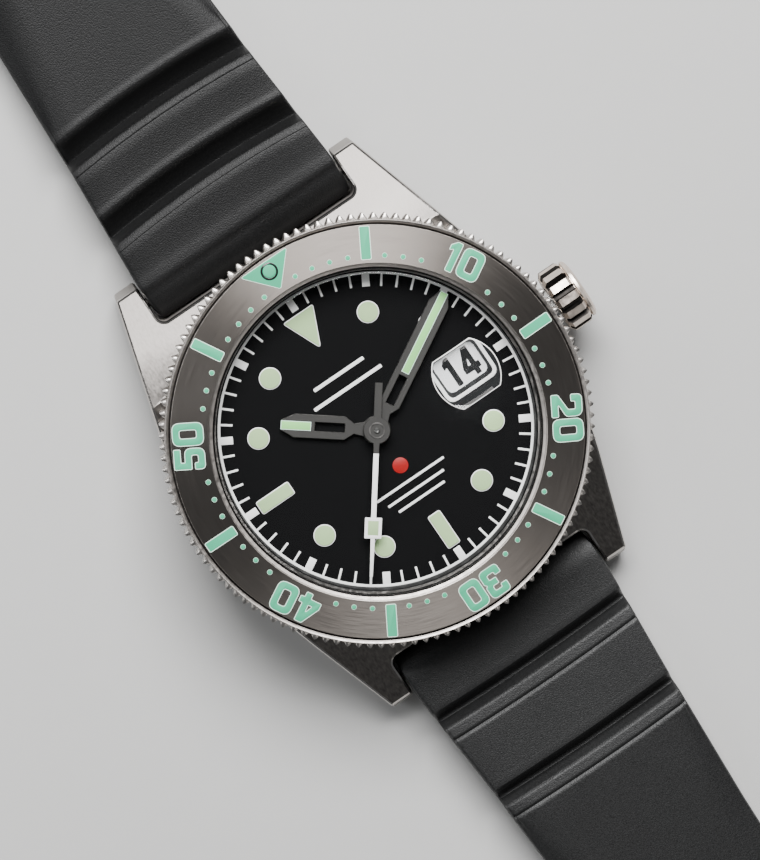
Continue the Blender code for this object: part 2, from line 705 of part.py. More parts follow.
def make_plates():
    """The mainplate, and the bridges that hold the arbors, each standing on a foot at its rim."""
    barrel = polar(BARREL_AT)
    loops = [circle(MOVEMENT_R, ROUND), circle(0.75 * MM, 12), circle(5.15 * MM, 32, barrel)]
    plate = place("mainplate", prism("mainplate", loops, *PLATE_Z), "rhodium")
    low = (6.0 * MM, -1.6 * MM, PLATE_Z[0] - 1 * MM)
    high = (14 * MM, 1.6 * MM, PLATE_Z[1] + 1 * MM)
    boolean(plate, block("stem_slot", low, high))
    post = polar(MINUTE_WHEEL_AT)
    arbor("minute_wheel_post", plate, 0.22 * MM, PLATE_Z[0] + 0.3 * MM, 7.5 * MM, post)
    foot = (BRIDGE_Z[1] - 0.2 * MM, PLATE_Z[0] - 0.05 * MM)
    shapes = {
        "barrel_bridge": (
            sector(1.6 * MM, 12.8 * MM, -15, 101, 12),
            sector(11.8 * MM, 12.8 * MM, 12, 101, 9),
        ),
        "train_bridge": (
            arc((0, 0), 1.45 * MM, 103, -132, 7)
            + arc((0, 0), 5.3 * MM, 228, 202, 3)
            + arc((0, 0), 12.8 * MM, 202, 103, 10),
            sector(10.0 * MM, 12.8 * MM, 125, 195, 6),
        ),
        "balance_cock": (
            arc((0, 0), 12.8 * MM, 232, 280, 5)
            + arc((0, 0), 10.4 * MM, 280, 258, 3)
            + arc(polar(BALANCE_AT), 1.4 * MM, 300, 150, 5),
            sector(10.5 * MM, 12.8 * MM, 262, 280, 3),
        ),
    }
    for name, (top, wall) in shapes.items():
        bridge = place(name, prism(name, [top], *BRIDGE_Z), "rhodium")
        boolean(bridge, place(name + "_foot", prism(name + "_foot", [wall], *foot)), "UNION")
    for i, angle in enumerate((40, 90, 150, 270)):
        x, y = polar((12.0 * MM, radians(angle)))
        disc(f"bridge_screw_{i + 1}", 0.55 * MM, 2.15 * MM, 2.4 * MM, "blued_steel", 8, (x, y, 0))


def make_rotor():
    weight = sector(10.0 * MM, ROTOR_R, 180, 360, 16)
    web = sector(1.1 * MM, 10.3 * MM, 185, 355, 12)
    mesh = prism("rotor", [weight], 1.2 * MM, 2.05 * MM)
    rotor = place("rotor", mesh, "rhodium")
    boolean(rotor, place("rotor_web", prism("rotor_web", [web], 1.55 * MM, 1.9 * MM)), "UNION")
    boolean(rotor, ring("rotor_hub", 0.75 * MM, 2.3 * MM, 1.5 * MM, 2.05 * MM, steps=24), "UNION")
    screw = [
        (0, 2.4 * MM),
        (0.65 * MM, 2.4 * MM),
        (0.65 * MM, 1.42 * MM),
        (1.5 * MM, 1.42 * MM),
        (1.5 * MM, 1.1 * MM),
        (0, 1.1 * MM),
    ]
    turned("rotor_screw", screw, "blued_steel", SMALL_ROUND, closed=False)


def make_holder():
    holder = ring("movement_holder", 13.0 * MM, 15.5 * MM, 2.55 * MM, 8.0 * MM, "black_plastic")
    boolean(holder, rod("stem_way", 1.0 * MM, (12 * MM, 0, STEM_Z), (17 * MM, 0, STEM_Z), steps=8))


def make_motion_works():
    """What turns the hands: cannon pinion, minute wheel and hour wheel; then the date disc."""
    x, y = polar(MINUTE_WHEEL_AT)
    toward = MINUTE_WHEEL_AT[1]
    loops = [teeth(12, 0.96 * MM, 0.16 * MM, toward), circle(0.71 * MM, 12)]
    pinion = place("cannon_pinion", prism("cannon_pinion", loops, 6.7 * MM, 7.05 * MM), "steel")
    arbor("cannon_tube", pinion, 0.8 * MM, 6.9 * MM, 9.5 * MM, bore=0.62 * MM)
    loops = [teeth(36, 2.88 * MM, 0.16 * MM, toward + pi + pi / 36), circle(0.4 * MM, 8)]
    minute = place("minute_wheel", prism("minute_wheel", loops, 6.75 * MM, 7.0 * MM), "brass")
    loops = [teeth(10, 0.768 * MM, 0.1536 * MM, toward + pi), circle(0.28 * MM, 8)]
    upper = place("minute_wheel_pinion", prism("minute_wheel_pinion", loops, 6.95 * MM, 7.5 * MM))
    minute.location = (x, y, 0)
    upper.location = (x, y, 0)
    boolean(minute, upper, "UNION")
    loops = [teeth(40, 3.072 * MM, 0.1536 * MM, toward + pi / 40), circle(0.98 * MM, 12)]
    hour = place("hour_wheel", prism("hour_wheel", loops, 7.2 * MM, 7.42 * MM), "brass")
    arbor("hour_tube", hour, 1.1 * MM, 7.3 * MM, 9.1 * MM, bore=0.87 * MM)
    loops = [circle(12.2 * MM, ROUND), teeth(31, 8.6 * MM, 0.7 * MM)]
    place("date_disc", prism("date_disc", loops, 7.65 * MM, 7.85 * MM), "white_paint")


# Hands


def hand(name, outline, windows, heights, bore, clockwise):
    """A flat hand drawn pointing to 12 and turned clockwise, in degrees, to the time it shows."""
    loops = [outline + [(-px, py) for px, py in reversed(outline)]] + windows
    loops.append(circle(bore, 12))
    obj = place(name, prism(name, loops, *heights), "hand_grey")
    obj.rotation_euler.z = -radians(clockwise)
    return obj


def hub_side(radius, neck):
    """The right half of a hub from its tail to where a neck of this half width leaves it."""
    return arc((0, 0), radius, -90, degrees(acos(neck / radius)), 6)


def make_hands():
    outline = hub_side(1.35 * MM, 0.48 * MM)[:-1]
    outline += [(0.48 * MM, 1.9 * MM), (1.12 * MM, 2.9 * MM), (1.12 * MM, 7.9 * MM), (0.55 * MM, 9.0 * MM)]
    windows = [box_loop(-0.42 * MM, 0.42 * MM, 3.0 * MM, 5.7 * MM)]
    hand("hour_hand", outline, windows, HOUR_HAND_Z, 1.16 * MM, HOUR_ANGLE)
    outline = hub_side(1.3 * MM, 0.45 * MM)[:-1]
    outline += [(0.45 * MM, 1.8 * MM), (1.0 * MM, 2.7 * MM), (1.0 * MM, 13.0 * MM), (0.42 * MM, 14.4 * MM)]
    windows = [box_loop(-0.4 * MM, 0.4 * MM, 2.75 * MM, 5.6 * MM)]
    hand("minute_hand", outline, windows, MINUTE_HAND_Z, 0.86 * MM, MINUTE_ANGLE)
    outline = [(0.35 * MM, -4.5 * MM), (0.35 * MM, -1.2 * MM)] + arc((0, 0), 1.25 * MM, -70, 70, 6)
    outline += [(0.25 * MM, 2.0 * MM), (0.22 * MM, 8.2 * MM), (0.8 * MM, 8.2 * MM), (0.8 * MM, 10.1 * MM)]
    outline += [(0.22 * MM, 10.1 * MM), (0.12 * MM, 13.8 * MM)]
    hand("seconds_hand", outline, [], SECONDS_HAND_Z, 0.26 * MM, SECONDS_ANGLE)


# Strap and buckle


def half_width(y):
    """The strap's half width at a distance from the centre, both in millimetres."""
    stops = STRAP_HALF_WIDTHS
    for (y_low, wide), (y_high, narrow) in zip(stops, stops[1:]):
        if y <= y_high:
            return wide + (narrow - wide) * (y - y_low) / (y_high - y_low)
    return stops[-1][1]


def strap_top(grooves=(28.7, 37.1)):
    """The thick stretch of a strap's top, in (y, z) from the lugs out, with its two cross grooves."""
    points = [(21.6, 5.0)]
    for middle in grooves:
        points += [(middle + offset, z) for offset, z in GROOVE]
    return [(y * MM, z * MM) for y, z in points]


def strap_plan(sign, end, tip=0.0):
    """A strap from above, tapering from the lugs, with a rounded tip if it has a free end."""
    stops = [19.0, 20.8, 35.0, 50.0, 72.0, (end - tip) / MM]
    right = [(half_width(y) * MM, sign * y * MM) for y in stops]
    if tip:
        wide = right[-1][0]
        for a in (pi / 8, pi / 4, 3 * pi / 8):
            right.append((wide * cos(a), sign * (end - tip + tip * sin(a))))
        right.append((0, sign * end))
        return right + [(-x, y) for x, y in reversed(right[:-1])]
    return right + [(-x, y) for x, y in reversed(right)]


def mirrored(points, sign):
    return [(sign * y, z) for y, z in points]


def lug_tube():
    """The round end of a strap, from its top over the inner side to its underside."""
    return arc((BAR_Y, BAR_Z), STRAP_TUBE_R, 110, 270, 8)


def make_upper_strap():
    """The short strap on the 12 side, looped round the buckle's bar."""
    thick_end = KEEPER_CLEAR + STRAP_THICK
    loop = arc((BUCKLE_Y, BUCKLE_Z), STRAP_THICK / 2, 90, -90, 8)
    side = strap_top() + [(60 * MM, thick_end)] + loop
    side += [(40 * MM, KEEPER_CLEAR)] + lug_tube()[::-1]
    holes = [
        circle(BAR_BORE_R, SMALL_ROUND, (BAR_Y, BAR_Z)),
        circle(BUCKLE_BORE_R, 12, (BUCKLE_Y, BUCKLE_Z)),
    ]
    mesh = side_prism("strap_upper", [side] + holes, 15 * MM)
    strap = around(place("strap_upper", mesh, "rubber"), 0, BAR_Y, BAR_Z)
    plan = prism("strap_upper_plan", [strap_plan(1, 100 * MM)], -3 * MM, 9 * MM)
    boolean(strap, place("strap_upper_plan", plan), "INTERSECT")
    slot_low = (-1.35 * MM, BUCKLE_Y - 2.2 * MM, -1 * MM)
    boolean(strap, block("tang_slot", slot_low, (1.35 * MM, BUCKLE_Y + 3 * MM, 8 * MM)))


def make_lower_strap():
    """The long strap on the 6 side, with its row of holes and round tip."""
    thin = 2.4 * MM
    side = strap_top() + [(60 * MM, STRAP_THICK), (TAIL_Y - 1 * MM, thin), (TAIL_Y, thin - 0.6 * MM)]
    side += [(TAIL_Y, 0), (48 * MM, 0)] + lug_tube()[::-1]
    hole = circle(BAR_BORE_R, SMALL_ROUND, (-BAR_Y, BAR_Z))
    mesh = side_prism("strap_lower", [mirrored(side, -1), hole], 15 * MM)
    strap = around(place("strap_lower", mesh, "rubber"), 0, -BAR_Y, BAR_Z)
    plan = [strap_plan(-1, TAIL_Y, 9 * MM)]
    for i in range(TAIL_HOLES):
        y = -(TAIL_Y - 20 * MM - i * TAIL_HOLE_PITCH)
        plan.append(rounded_box(1.0 * MM, 1.4 * MM, 0.95 * MM, (0, y), 2))
    outline = place("strap_lower_plan", prism("strap_lower_plan", plan, -3 * MM, 9 * MM))
    boolean(strap, outline, "INTERSECT")


def make_spring_bars():
    for name, sign in (("spring_bar_upper", 1), ("spring_bar_lower", -1)):
        length = LUG_IN_X - 0.15 * MM
        bar = rod(name, BAR_R, (-length, sign * BAR_Y, BAR_Z), (length, sign * BAR_Y, BAR_Z), "steel")
        reach = LUG_IN_X + 1.1 * MM
        middle = (sign * BAR_Y, BAR_Z)
        tips = rod(name + "_tips", 0.45 * MM, (-reach, *middle), (reach, *middle), steps=8)
        boolean(bar, tips, "UNION")


def make_buckle():
    """A frame that swings on a bar through the strap's end, and the tang that rests on it."""
    inner = FRAME_HALF_WIDTH - FRAME_WALL
    near = BUCKLE_Y - 1.3 * MM
    far = BUCKLE_Y + BUCKLE_REACH
    corner = (FRAME_HALF_WIDTH - 2 * MM, far - 0.4 * MM)
    outside = [(FRAME_HALF_WIDTH, near)] + arc(corner, 2 * MM, 0, 90, 4)
    inside = [(inner, near)] + arc((inner - 1 * MM, far - 0.7 * MM - FRAME_WALL), 1 * MM, 0, 90, 3)
    outline = outside + [(-x, y) for x, y in reversed(outside)]
    outline += [(-x, y) for x, y in inside] + list(reversed(inside))
    low = BUCKLE_Z - FRAME_THICK / 2
    mesh = prism("buckle_frame", [outline], low, low + FRAME_THICK)
    frame = around(place("buckle_frame", mesh, "titanium"), 0, BUCKLE_Y, BUCKLE_Z)
    start = (-FRAME_HALF_WIDTH + 0.5 * MM, BUCKLE_Y, BUCKLE_Z)
    boolean(frame, rod("buckle_holes", 0.55 * MM, start, (-start[0], BUCKLE_Y, BUCKLE_Z), steps=8))
    bar_end = inner - 0.1 * MM
    bar = rod("buckle_bar", BUCKLE_BAR_R, (-bar_end, *start[1:]), (bar_end, *start[1:]), "steel", 12)
    tip_end = FRAME_HALF_WIDTH - 0.6 * MM
    tips = rod("buckle_bar_tips", 0.4 * MM, (-tip_end, *start[1:]), (tip_end, *start[1:]), steps=8)
    boolean(bar, tips, "UNION")
    rest = low + FRAME_THICK + 0.1 * MM
    hub = arc((BUCKLE_Y, BUCKLE_Z), 1.35 * MM, 60, 330, 8)
    tang = hub + [
        (BUCKLE_Y + 3 * MM, BUCKLE_Z - 0.1 * MM),
        (far - 1.8 * MM, rest),
        (far + 1.2 * MM, rest),
        (far + 1.2 * MM, rest + 0.6 * MM),
        (far - 2.2 * MM, rest + 1.1 * MM),
        (BUCKLE_Y + 3 * MM, BUCKLE_Z + 1.2 * MM),
    ]
    hole = circle(BUCKLE_BORE_R, 12, (BUCKLE_Y, BUCKLE_Z))
    mesh = side_prism("buckle_tang", [tang, hole], 1.05 * MM)
    around(place("buckle_tang", mesh, "steel"), 0, BUCKLE_Y, BUCKLE_Z)


def make_keepers():
    """Loops of rubber that hold the tail down: one moulded in place, one that slides."""
    for name, y, width in (("fixed_keeper", 88.5, 4.0), ("sliding_keeper", 78.0, 5.0)):
        room = 2 * STRAP_THICK + 0.5 * MM
        low = KEEPER_CLEAR - 0.1 * MM
        middle = (0, low + room / 2)
        outer = rounded_box(9.2 * MM + 1.2 * MM, room / 2 + 1.1 * MM, 1.3 * MM, middle, 3)
        inner = rounded_box(9.25 * MM, room / 2, 0.25 * MM, middle, 2)
        mesh = prism(name, [outer, inner], -width / 2 * MM, width / 2 * MM)
        mesh.transform(Matrix(((1, 0, 0, 0), (0, 0, -1, y * MM), (0, 1, 0, 0), (0, 0, 0, 1))))
        around(place(name, mesh, "rubber"), 0, y * MM, 0)


clear_scene()
PARTS = collection("dive_watch")
CUTTERS = collection("cutters", hidden=True)
make_case()
make_back()
make_seals()
make_crystal()
make_magnifier()
make_rehaut()
make_dial()
make_bezel()
make_crown()
make_stem()
make_winding_wheels()
make_going_train()
make_springs()
make_escapement()
make_plates()
make_rotor()
make_holder()
make_motion_works()
make_hands()
make_upper_strap()
make_lower_strap()
make_spring_bars()
make_buckle()
make_keepers()
bpy.context.view_layer.update()
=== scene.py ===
"""Looks of the automatic dive watch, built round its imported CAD. Drawing units are millimetres."""

import json
from math import acos, asin, atan2, ceil, cos, degrees, hypot, pi, radians, sin, sqrt, tan

import bmesh
import bpy
import numpy as np
from mathutils import Matrix, Vector
from mathutils.geometry import tessellate_polygon


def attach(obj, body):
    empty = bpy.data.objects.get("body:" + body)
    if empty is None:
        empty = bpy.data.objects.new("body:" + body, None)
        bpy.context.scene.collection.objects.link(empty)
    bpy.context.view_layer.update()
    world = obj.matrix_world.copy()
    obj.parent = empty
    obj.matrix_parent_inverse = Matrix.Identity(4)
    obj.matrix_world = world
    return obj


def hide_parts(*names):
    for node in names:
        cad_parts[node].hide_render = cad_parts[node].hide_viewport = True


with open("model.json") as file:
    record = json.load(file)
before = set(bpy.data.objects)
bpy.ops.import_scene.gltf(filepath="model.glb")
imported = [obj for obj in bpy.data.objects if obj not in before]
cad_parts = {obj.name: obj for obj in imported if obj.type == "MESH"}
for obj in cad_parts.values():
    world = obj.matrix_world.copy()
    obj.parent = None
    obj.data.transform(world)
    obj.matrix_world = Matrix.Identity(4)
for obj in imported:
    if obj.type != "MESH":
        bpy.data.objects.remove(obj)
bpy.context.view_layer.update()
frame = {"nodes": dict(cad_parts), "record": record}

MM = 0.001
TURN = 2 * pi


# ---- outlines in the XY plane


def circle(radius, steps=64, at=(0, 0)):
    return [
        (at[0] + radius * cos(TURN * i / steps), at[1] + radius * sin(TURN * i / steps))
        for i in range(steps)
    ]


def arc(at, radius, start, end, steps):
    """Points from one angle in degrees to another, both ends included."""
    turns = (radians(start + (end - start) * i / steps) for i in range(steps + 1))
    return [(at[0] + radius * cos(a), at[1] + radius * sin(a)) for a in turns]


def rounded(points, radius, steps=4):
    """A polygon with its corners rounded; radius is one number, or one for each corner."""
    out = []
    count = len(points)
    radii = radius if hasattr(radius, "__len__") else [radius] * count
    for i, (point, r) in enumerate(zip(points, radii)):
        corner = Vector(point)
        back = Vector(points[i - 1]) - corner
        ahead = Vector(points[(i + 1) % count]) - corner
        half = back.angle(ahead) / 2
        cut = min(r / tan(half), 0.46 * back.length, 0.46 * ahead.length) if half > 0.01 else 0
        if cut < 1e-4:
            out.append(tuple(corner))
            continue
        start = corner + back.normalized() * cut
        end = corner + ahead.normalized() * cut
        for k in range(steps + 1):
            t = k / steps
            out.append(tuple((1 - t) ** 2 * start + 2 * t * (1 - t) * corner + t * t * end))
    return out


def box(half_x, half_y, at=(0, 0), radius=0.0, steps=4):
    x, y = at
    corners = [
        (x - half_x, y - half_y), (x + half_x, y - half_y), (x + half_x, y + half_y),
        (x - half_x, y + half_y)
    ]
    return rounded(corners, radius, steps) if radius else corners


def turned_by(points, clockwise, at=(0, 0)):
    """Points turned clockwise in degrees about the centre, then moved."""
    a = -radians(clockwise)
    return [(x * cos(a) - y * sin(a) + at[0], x * sin(a) + y * cos(a) + at[1]) for x, y in points]


def spaced(points, longest):
    """The same loop with points added, so that no side is longer than this."""
    out = []
    for i, (x, y) in enumerate(points):
        next_x, next_y = points[(i + 1) % len(points)]
        parts = max(1, ceil(hypot(next_x - x, next_y - y) / longest))
        out += [(x + (next_x - x) * k / parts, y + (next_y - y) * k / parts) for k in range(parts)]
    return out


def mirror_x(points):
    return [(-x, y) for x, y in reversed(points)]


# ---- meshes


def to_object(name, mesh, materials, body, sharp=32, faces_material=None):
    obj = bpy.data.objects.new(name, mesh)
    bpy.context.scene.collection.objects.link(obj)
    mesh.materials.clear()
    for material in materials if isinstance(materials, (list, tuple)) else [materials]:
        mesh.materials.append(material)
    if faces_material is not None:
        mesh.polygons.foreach_set("material_index", faces_material)
    mesh.shade_smooth()
    mesh.set_sharp_from_angle(angle=radians(sharp))
    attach(obj, body)
    return obj


def finish_mesh(mesh, weld=1e-4):
    """Welds and orients a mesh drawn in millimetres, and scales it to metres."""
    work = bmesh.new()
    work.from_mesh(mesh)
    bmesh.ops.remove_doubles(work, verts=work.verts, dist=weld)
    bmesh.ops.recalc_face_normals(work, faces=work.faces)
    bmesh.ops.scale(work, verts=work.verts, vec=(MM, MM, MM))
    work.to_mesh(mesh)
    work.free()
    return mesh


def plate(name, shapes, low, high, bevel=0.0, grow=0.0, steps=2, drape=None):
    """Flat pieces between two heights, with rounded edges. Each shape is an outline followed by its holes."""
    curve = bpy.data.curves.new(name, "CURVE")
    curve.dimensions = "2D"
    curve.fill_mode = "BOTH"
    curve.extrude = (high - low) / 2 - bevel
    curve.bevel_depth = bevel
    curve.bevel_resolution = steps
    curve.offset = grow - bevel
    for shape in shapes:
        for loop in shape:
            spline = curve.splines.new("POLY")
            spline.points.add(len(loop) - 1)
            for point, (x, y) in zip(spline.points, loop):
                point.co = (x, y, 0, 1)
            spline.use_cyclic_u = True
    guide = bpy.data.objects.new(name, curve)
    bpy.context.scene.collection.objects.link(guide)
    bpy.context.view_layer.update()
    mesh = bpy.data.meshes.new_from_object(guide.evaluated_get(bpy.context.evaluated_depsgraph_get()))
    bpy.data.objects.remove(guide, do_unlink=True)
    bpy.data.curves.remove(curve)
    middle = (low + high) / 2
    for vertex in mesh.vertices:
        vertex.co.z += middle
        if drape:
            vertex.co.z += drape(vertex.co.x, vertex.co.y)
    return finish_mesh(mesh)


def lathe(name, profile, steps=192, closed=True, reach=None):
    """A turned mesh from (radius, height) points. reach(angle, i) can change point i's radius."""
    angles = [TURN * k / steps for k in range(steps)]
    verts = []
    for i, (r, z) in enumerate(profile):
        for a in angles:
            rr = reach(a, i) if reach and reach(a, i) is not None else r
            verts.append((rr * cos(a), rr * sin(a), z))
    return grid(name, verts, len(profile), steps, closed)


def grid(name, verts, rows, columns, closed_rows=False, caps=False):
    """Rows of points, each a closed loop, joined by quads."""
    faces = []
    for i in range(rows if closed_rows else rows - 1):
        j = (i + 1) % rows
        for k in range(columns):
            m = (k + 1) % columns
            faces.append((i * columns + k, i * columns + m, j * columns + m, j * columns + k))
    if caps:
        faces.append(tuple(range(columns)))
        faces.append(tuple((rows - 1) * columns + k for k in range(columns)))
    mesh = bpy.data.meshes.new(name)
    mesh.from_pydata(verts, [], faces)
    return finish_mesh(mesh)


def move_mesh(mesh, matrix):
    mesh.transform(matrix)
    mesh.update()
    return mesh


def about_x(mesh, z):
    """Stands a mesh drawn about Z on an axis along +X at a height in millimetres."""
    turn = Matrix(((0, 0, 1, 0), (0, 1, 0, 0), (-1, 0, 0, z * MM), (0, 0, 0, 1)))
    return move_mesh(mesh, turn)


# ---- materials


class Maker:
    """A Principled material and short ways to add nodes to it."""

    def __init__(self, name, colour, roughness, metallic=0.0, **sockets):
        self.material = bpy.data.materials.new(name)
        self.material.use_nodes = True
        self.tree = self.material.node_tree
        self.shader = self.tree.nodes["Principled BSDF"]
        self.shader.inputs["Base Color"].default_value = (*colour, 1)
        self.shader.inputs["Roughness"].default_value = roughness
        self.shader.inputs["Metallic"].default_value = metallic
        for socket, value in sockets.items():
            self.shader.inputs[socket.replace("_", " ")].default_value = value
        self.colour = colour
        self.coordinates = self.node("ShaderNodeTexCoord").outputs["Object"]

    def node(self, kind, **settings):
        made = self.tree.nodes.new(kind)
        for key, value in settings.items():
            setattr(made, key, value)
        return made

    def link(self, output, socket):
        self.tree.links.new(output, socket)
        return self

    def math(self, operation, a, b=None):
        made = self.node("ShaderNodeMath", operation=operation)
        for i, value in enumerate((a, b)):
            if value is None:
                continue
            if isinstance(value, (int, float)):
                made.inputs[i].default_value = value
            else:
                self.link(value, made.inputs[i])
        return made.outputs[0]

    def scaled(self, x, y, z):
        """Coordinates with this many units to the millimetre."""
        made = self.node("ShaderNodeMapping")
        made.inputs["Scale"].default_value = (x * 1000, y * 1000, z * 1000)
        self.link(self.coordinates, made.inputs["Vector"])
        return made.outputs[0]

    def ringed(self, across, along):
        """Coordinates that run round Z: across is units to the millimetre of radius."""
        split = self.node("ShaderNodeSeparateXYZ")
        self.link(self.coordinates, split.inputs[0])
        flat = self.node("ShaderNodeCombineXYZ")
        self.link(split.outputs[0], flat.inputs[0])
        self.link(split.outputs[1], flat.inputs[1])
        length = self.node("ShaderNodeVectorMath", operation="LENGTH")
        self.link(flat.outputs[0], length.inputs[0])
        unit = self.node("ShaderNodeVectorMath", operation="NORMALIZE")
        self.link(flat.outputs[0], unit.inputs[0])
        parts = self.node("ShaderNodeSeparateXYZ")
        self.link(unit.outputs[0], parts.inputs[0])
        out = self.node("ShaderNodeCombineXYZ")
        self.link(self.math("MULTIPLY", parts.outputs[0], along), out.inputs[0])
        self.link(self.math("MULTIPLY", parts.outputs[1], along), out.inputs[1])
        self.link(self.math("MULTIPLY", length.outputs["Value"], across * 1000), out.inputs[2])
        return out.outputs[0]

    def noise(self, vector, detail=2.0, scale=1.0, roughness=0.55):
        made = self.node("ShaderNodeTexNoise")
        made.inputs["Scale"].default_value = scale
        made.inputs["Detail"].default_value = detail
        made.inputs["Roughness"].default_value = roughness
        self.link(vector, made.inputs["Vector"])
        return made.outputs[0]

    def ranged(self, value, low, high, new_low, new_high):
        made = self.node("ShaderNodeMapRange")
        for i, number in enumerate((low, high, new_low, new_high)):
            made.inputs[i + 1].default_value = number
        self.link(value, made.inputs[0])
        return made.outputs[0]

    def tint(self, factor, dark, light):
        """Base colour between dark and light shares of the colour, by a factor."""
        ramp = self.node("ShaderNodeValToRGB")
        ramp.color_ramp.elements[0].color = (*[c * dark for c in self.colour], 1)
        ramp.color_ramp.elements[1].color = (*[min(1, c * light) for c in self.colour], 1)
        self.link(factor, ramp.inputs[0])
        self.link(ramp.outputs[0], self.shader.inputs["Base Color"])
        return self

    def rough(self, factor, low, high):
        return self.link(self.ranged(factor, 0.3, 0.7, low, high), self.shader.inputs["Roughness"])

    def bump(self, height, depth, strength=1.0):
        """Bump of a depth in millimetres."""
        made = self.node("ShaderNodeBump")
        made.inputs["Strength"].default_value = strength
        made.inputs["Distance"].default_value = depth * MM
        self.link(height, made.inputs["Height"])
        return self.link(made.outputs[0], self.shader.inputs["Normal"])


def brushed(
    name, colour, roughness, grain, depth=0.004, light=1.12, dark=0.88, anisotropy=0.6, across=(1, 0, 0)
):
    """Brushed metal: grain is the units to the millimetre, and across the way its highlights spread."""
    made = Maker(name, colour, roughness, 1.0, Anisotropic=anisotropy)
    way = made.node("ShaderNodeCombineXYZ")
    for i, value in enumerate(across):
        way.inputs[i].default_value = value
    made.link(way.outputs[0], made.shader.inputs["Tangent"])
    streaks = made.noise(made.scaled(*grain), 3.0)
    made.tint(streaks, dark, light).rough(streaks, roughness - 0.06, roughness + 0.08)
    made.bump(streaks, depth)
    return made.material


def ring_brushed(name, colour, roughness, depth=0.0012, light=1.1, dark=0.9, anisotropy=0.8, across=13):
    """Metal brushed in circles about the watch's axis, so its highlights spread outwards."""
    made = Maker(name, colour, roughness, 1.0, Anisotropic=anisotropy, Anisotropic_Rotation=0.25)
    tangent = made.node("ShaderNodeTangent", direction_type="RADIAL", axis="Z")
    made.link(tangent.outputs[0], made.shader.inputs["Tangent"])
    streaks = made.noise(made.ringed(across, 7), 3.0)
    made.tint(streaks, dark, light).rough(streaks, roughness - 0.05, roughness + 0.08)
    made.bump(streaks, depth)
    return made.material


def polished(name, colour, roughness=0.12):
    made = Maker(name, colour, roughness, 1.0)
    marks = made.noise(made.scaled(2.2, 2.2, 2.2), 4.0)
    made.tint(marks, 0.88, 1.08).rough(marks, roughness * 0.8, roughness * 1.4)
    made.bump(marks, 0.0006)
    return made.material


def painted(name, colour, roughness, grain=14.0, depth=0.0015, dark=0.9, light=1.08, **sockets):
    made = Maker(name, colour, roughness, 0.0, **sockets)
    grains = made.noise(made.scaled(grain, grain, grain), 2.0)
    broad = made.noise(made.scaled(0.35, 0.35, 0.35), 2.0)
    made.tint(broad, dark, light).rough(grains, roughness - 0.06, roughness + 0.06)
    made.bump(grains, depth)
    return made.material


def rubber(name, colour, gloss):
    """Matte rubber with the fine grain of a spark-eroded mould and broad random changes of tone."""
    made = Maker(name, colour, 0.55, 0.0, Specular_IOR_Level=gloss, Sheen_Weight=0.02)
    grains = made.noise(made.scaled(8, 8, 8), 1.5, roughness=0.6)
    broad = made.noise(made.scaled(0.09, 0.09, 0.09), 3.0)
    mix = made.math("ADD", made.math("MULTIPLY", grains, 0.75), made.math("MULTIPLY", broad, 0.25))
    made.tint(made.ranged(mix, 0.3, 0.7, 0, 1), 0.45, 2.0).rough(grains, 0.40, 0.54)
    made.bump(grains, 0.038)
    return made.material


def clear(name, tint, gloss_roughness=0.02, ior=1.5, bends=False):
    """Sapphire that lets lamps through. Where bends is set, sight through it is refracted."""
    material = bpy.data.materials.new(name)
    material.use_nodes = True
    tree = material.node_tree
    tree.nodes.remove(tree.nodes["Principled BSDF"])
    out = tree.nodes["Material Output"]
    add, link = tree.nodes.new, tree.links.new
    through = add("ShaderNodeBsdfTransparent")
    through.inputs["Color"].default_value = (*tint, 1)
    mix = add("ShaderNodeMixShader")
    if bends:
        glass = add("ShaderNodeBsdfGlass")
        glass.inputs["IOR"].default_value = ior
        glass.inputs["Color"].default_value = (*tint, 1)
        glass.inputs["Roughness"].default_value = 0.0
        path = add("ShaderNodeLightPath")
        link(path.outputs["Is Shadow Ray"], mix.inputs[0])
        link(glass.outputs[0], mix.inputs[1])
        link(through.outputs[0], mix.inputs[2])
    else:
        place = add("ShaderNodeTexCoord")
        smudge = add("ShaderNodeTexNoise")
        smudge.inputs["Scale"].default_value = 260
        link(place.outputs["Object"], smudge.inputs["Vector"])
        spread = add("ShaderNodeMapRange")
        spread.inputs[3].default_value = gloss_roughness
        spread.inputs[4].default_value = gloss_roughness + 0.03
        link(smudge.outputs[0], spread.inputs[0])
        gloss = add("ShaderNodeBsdfGlossy")
        link(spread.outputs[0], gloss.inputs["Roughness"])
        fresnel = add("ShaderNodeFresnel")
        fresnel.inputs["IOR"].default_value = ior
        facing = add("ShaderNodeNewGeometry")
        outside = add("ShaderNodeMath")
        outside.operation = "SUBTRACT"
        outside.inputs[0].default_value = 1.0
        outward = add("ShaderNodeMath")
        outward.operation = "MULTIPLY"
        link(facing.outputs["Backfacing"], outside.inputs[1])
        link(fresnel.outputs[0], outward.inputs[0])
        link(outside.outputs[0], outward.inputs[1])
        link(outward.outputs[0], mix.inputs[0])
        link(through.outputs[0], mix.inputs[1])
        link(gloss.outputs[0], mix.inputs[2])
    link(mix.outputs[0], out.inputs["Surface"])
    return material


